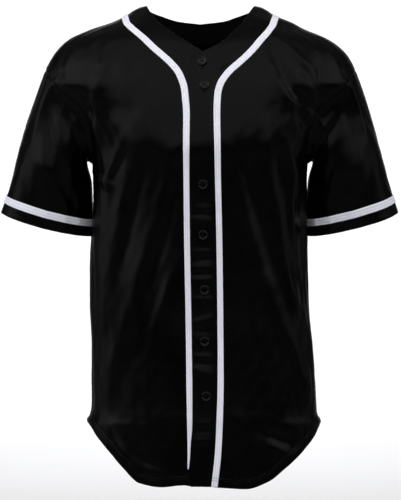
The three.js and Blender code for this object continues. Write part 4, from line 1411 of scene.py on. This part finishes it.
class JERSEY_OT_braids(bpy.types.Operator):
    """Lays the braid over the front and neck seams and round the sleeves, with its stitches"""

    bl_idname = "jersey.braids"
    bl_label = "Braid"

    def execute(self, context):
        for side, sign, edges, folds, _ in SIDES:
            name = f"{side}_front_braid"
            piece = braid(name, *front_braid_shown(edges, sign, side, 1.2))
            rows = braid_rows(*front_braid_shown(edges, sign, side, 9))
            self.lay(context.scene, piece, f"braid_front_{side}", rows)
            piece = sleeve_braid(f"{side}_sleeve_braid", sign, folds)
            self.lay(context.scene, piece, f"braid_sleeve_{side}", sleeve_braid_rows(sign, folds))
        angle, z = back_neck_path(2, np.linspace(0, 1, 150))
        half = np.full(len(z), BRAID_WIDTH / 2)
        piece = braid("neck_braid", angle, z, half, half)
        self.lay(context.scene, piece, "braid_back_neck", braid_rows(angle, z, half, half))
        return {"FINISHED"}

    def lay(self, scene, piece, node, rows):
        finish_piece(piece, white_braid(scene), "braid", node)
        pitch = scene.jersey_braid.pitch / MM
        size = (pitch * 0.85, 0.7, 0.5)
        stitches = stitch_object(f"{piece.name}_stitches", rows, white_thread(scene), pitch, size, 3)
        finish_piece(stitches, None, "braid")


class JERSEY_OT_stitches(bpy.types.Operator):
    """Sews the rows of the hems, the bands, the armholes and the buttonholes"""

    bl_idname = "jersey.stitches"
    bl_label = "Stitch rows"

    def execute(self, context):
        settings = context.scene.jersey_stitches
        pitch, width = settings.pitch / MM, settings.width / MM
        shares = {"left": np.linspace(0, 1, 400), "right": np.linspace(0, 0.4, 400)}
        rows = {}
        for side, sign, edges, _, folds in SIDES:
            rows[f"{side}_front"] = front_hem_rows(edges, sign, side, folds)
            rows[f"{side}_front"].append(band_row(front_band_route(edges, shares[side]), folds))
        points, normals, above, _, _ = back_grid()
        rows["back"] = [line_at(points, normals, above, depth) for depth in HEM_ROWS]
        rows["back"].append(band_row(back_band_route()))
        for side, sign, edges, folds, _ in SIDES:
            front, back = armhole_rows(sign, edges, side)
            rows[f"{side}_front"].append(front)
            rows["back"].append(back)
            rows[f"{side}_sleeve"] = [cuff_row(sign, folds)]
        thread = black_thread(context.scene)
        size = (pitch * 0.8, width, width * 0.75)
        for name, paths in rows.items():
            finish_piece(stitch_object(f"{name}_stitches", paths, thread, pitch, size, 5), None, "cloth")
        holes = [buttonhole(x, z) for x, z in BUTTONS]
        finish_piece(stitch_object("buttonholes", holes, thread, 0.62, (0.56, 1.7, 0.5), 7), None, "cloth")
        return {"FINISHED"}


class JERSEY_OT_buttons(bpy.types.Operator):
    """Sets the seven four-hole buttons down the top band, each tilted a little"""

    bl_idname = "jersey.buttons"
    bl_label = "Buttons"

    def execute(self, context):
        settings = context.scene.jersey_buttons
        plastic = material_of("black_button_plastic", button_material, settings)
        shape = button_mesh(settings.radius)
        rng = np.random.default_rng(SEED)
        for number, (x, z) in enumerate(BUTTONS, 1):
            point, normal = cloth(angle_at(x, z), z, SEAM_FINE)
            tilt = rng.uniform(-4, 4, 2) if number > 1 else (9, -12)
            turn_x, turn_y = (Matrix.Rotation(math.radians(a), 4, axis) for a, axis in zip(tilt, "XY"))
            spin = Matrix.Rotation(rng.uniform(0, math.pi), 4, "Z")
            base = point + normal * (PLACKET_LIFT + LAY_GAP - 0.1)
            place = Matrix.Translation(Vector(base) * MM) @ turned_to(normal) @ turn_x @ turn_y @ spin
            mesh = shape.copy()
            mesh.transform(place)
            piece = new_object(f"button_plastic_{number}", mesh)
            finish_piece(piece, plastic, "button", f"button_{number}")
            threads = mesh_from(f"button_threads_{number}", button_threads)
            threads.transform(place)
            threads.shade_smooth()
            sewn = new_object(f"button_threads_{number}", threads)
            finish_piece(sewn, black_thread(context.scene), "button")
        bpy.data.meshes.remove(shape)
        return {"FINISHED"}


class JERSEY_OT_stage(bpy.types.Operator):
    """Sets the pale floor, the soft studio light and the camera"""

    bl_idname = "jersey.stage"
    bl_label = "Stage, light and camera"

    def execute(self, context):
        scene = context.scene
        self.paper()
        self.sky(scene)
        self.lamp("front_softbox", (0, -2.25, 0.85), (0, 0, -0.3), (3.0, 1.95), 30)
        self.lamp("left_softbox", (2.2, -1.3, 0.9), (0, 0, -0.3), (2.4, 1.9), 28)
        self.lamp("right_softbox", (-2.2, -1.3, 0.8), (0, 0, -0.3), (2.4, 2.1), 42)
        self.lamp("left_strip", (2.6, 0.2, 0.05), (0.25, 0, -0.3), (1.2, 1.6), 3)
        self.lamp("right_strip", (-2.6, 0.2, 0.05), (-0.25, 0, -0.3), (1.2, 1.6), 7)
        self.lamp("top_softbox", (0, -1.3, 2.0), (0, 0, -0.2), (3.2, 1.3), 18)
        self.lamp("paper_light", (0, 3.6, 3.2), (0, 6.2, -0.4), (3, 3), 128, 150)
        camera = bpy.data.cameras.new("camera")
        camera.sensor_fit = "VERTICAL"
        camera.sensor_height = 24
        camera.lens = 24 * 3500 / 780
        camera.clip_end = 60
        scene.camera = new_object("camera", camera)
        scene.camera.location = (0, -3.5, -0.379)
        scene.camera.rotation_euler = (math.pi / 2, 0, 0)
        scene.view_settings.view_transform = "Standard"
        return {"FINISHED"}

    def paper(self):
        """Pale floor that sweeps up behind the jersey, and is greyer in what the cloth mirrors."""
        turn = np.linspace(0, np.pi / 2, 16)
        bend, floor_z = 2, -1.05
        y = np.r_[-2.6, 0, 4 + bend * np.sin(turn), 6]
        z = np.r_[floor_z, floor_z, 0.95 - bend * np.cos(turn), 7]
        x = np.array([-9.0, 0, 9])
        points = np.stack([np.repeat(x[:, None], len(y), 1), np.tile(y, (3, 1)), np.tile(z, (3, 1))], -1)
        up = np.zeros(points.shape)
        up[..., 1], up[..., 2] = -0.2, 1
        floor = grid_object("floor", points / MM, up)
        material, start, shader = start_material("pale_paper")
        tint = start.place().noise(3, 2).mix_colour((0.91, 0.91, 0.92, 1), (0.94, 0.94, 0.95, 1))
        straight = start.node("ShaderNodeLightPath")
        tint = straight.mix_colour((0.36, 0.36, 0.37, 1), tint)
        set_shader(start, shader, Base_Color=tint, Roughness=0.85, Specular_IOR_Level=0.1)
        floor.data.materials.append(material)

    def lamp(self, name, place, target, size, power, spread=180):
        light = bpy.data.lights.new(name, "AREA")
        light.shape = "RECTANGLE"
        light.size, light.size_y = size
        light.energy = power
        light.spread = math.radians(spread)
        holder = new_object(name, light)
        holder.location = place
        holder.rotation_euler = (Vector(target) - Vector(place)).to_track_quat("-Z", "Y").to_euler()

    def sky(self, scene):
        """Pale behind the jersey, and for its light a dim room that is brighter above."""
        world = bpy.data.worlds.new("studio")
        scene.world = world
        world.use_nodes = True
        tree = world.node_tree
        tree.nodes.clear()
        start = Value(tree)
        above = start.node("ShaderNodeTexCoord").part(2).between(0.2, 1.0)
        seen, lit = (
            start.node("ShaderNodeBackground", None, {"Color": (1, 1, 1, 1), "Strength": strength})
            for strength in (1.0, 0.02 + above * 0.35)
        )
        straight = start.node("ShaderNodeLightPath")
        blend = start.node("ShaderNodeMixShader", None, {0: straight, 1: lit, 2: seen})
        output = tree.nodes.new("ShaderNodeOutputWorld")
        tree.links.new(blend.socket, output.inputs[0])


class JERSEY_PT_panel(bpy.types.Panel):
    """Lists the steps that build the jersey and the settings that they follow"""

    bl_label = "Jersey"
    bl_idname = "JERSEY_PT_panel"
    bl_space_type = "VIEW_3D"
    bl_region_type = "UI"
    bl_category = "Jersey"

    def draw(self, context):
        column = self.layout.column(align=True)
        for operator in OPERATORS:
            column.operator(operator.bl_idname)
        for group in SETTINGS:
            settings = getattr(context.scene, group, None)
            if settings is None:
                continue
            box = self.layout.box()
            for key in settings.__annotations__:
                box.prop(settings, key)


SETTINGS = {
    "jersey_cloth": JerseyClothSettings,
    "jersey_braid": JerseyBraidSettings,
    "jersey_buttons": JerseyButtonSettings,
    "jersey_stitches": JerseyStitchSettings,
}
OPERATORS = (
    JERSEY_OT_stage, JERSEY_OT_fronts, JERSEY_OT_back, JERSEY_OT_sleeves, JERSEY_OT_bands, JERSEY_OT_braids,
    JERSEY_OT_buttons, JERSEY_OT_stitches,
)


def register():
    for group in SETTINGS.values():
        bpy.utils.register_class(group)
    for operator in OPERATORS:
        bpy.utils.register_class(operator)
    bpy.utils.register_class(JERSEY_PT_panel)
    for name, group in SETTINGS.items():
        setattr(bpy.types.Scene, name, bpy.props.PointerProperty(type=group))


def unregister():
    for name in SETTINGS:
        delattr(bpy.types.Scene, name)
    bpy.utils.unregister_class(JERSEY_PT_panel)
    for operator in reversed(OPERATORS):
        bpy.utils.unregister_class(operator)
    for group in reversed(list(SETTINGS.values())):
        bpy.utils.unregister_class(group)


def main():
    register()
    for operator in OPERATORS:
        group, step = operator.bl_idname.split(".")
        getattr(getattr(bpy.ops, group), step)()


if __name__ == "__main__":
    main()
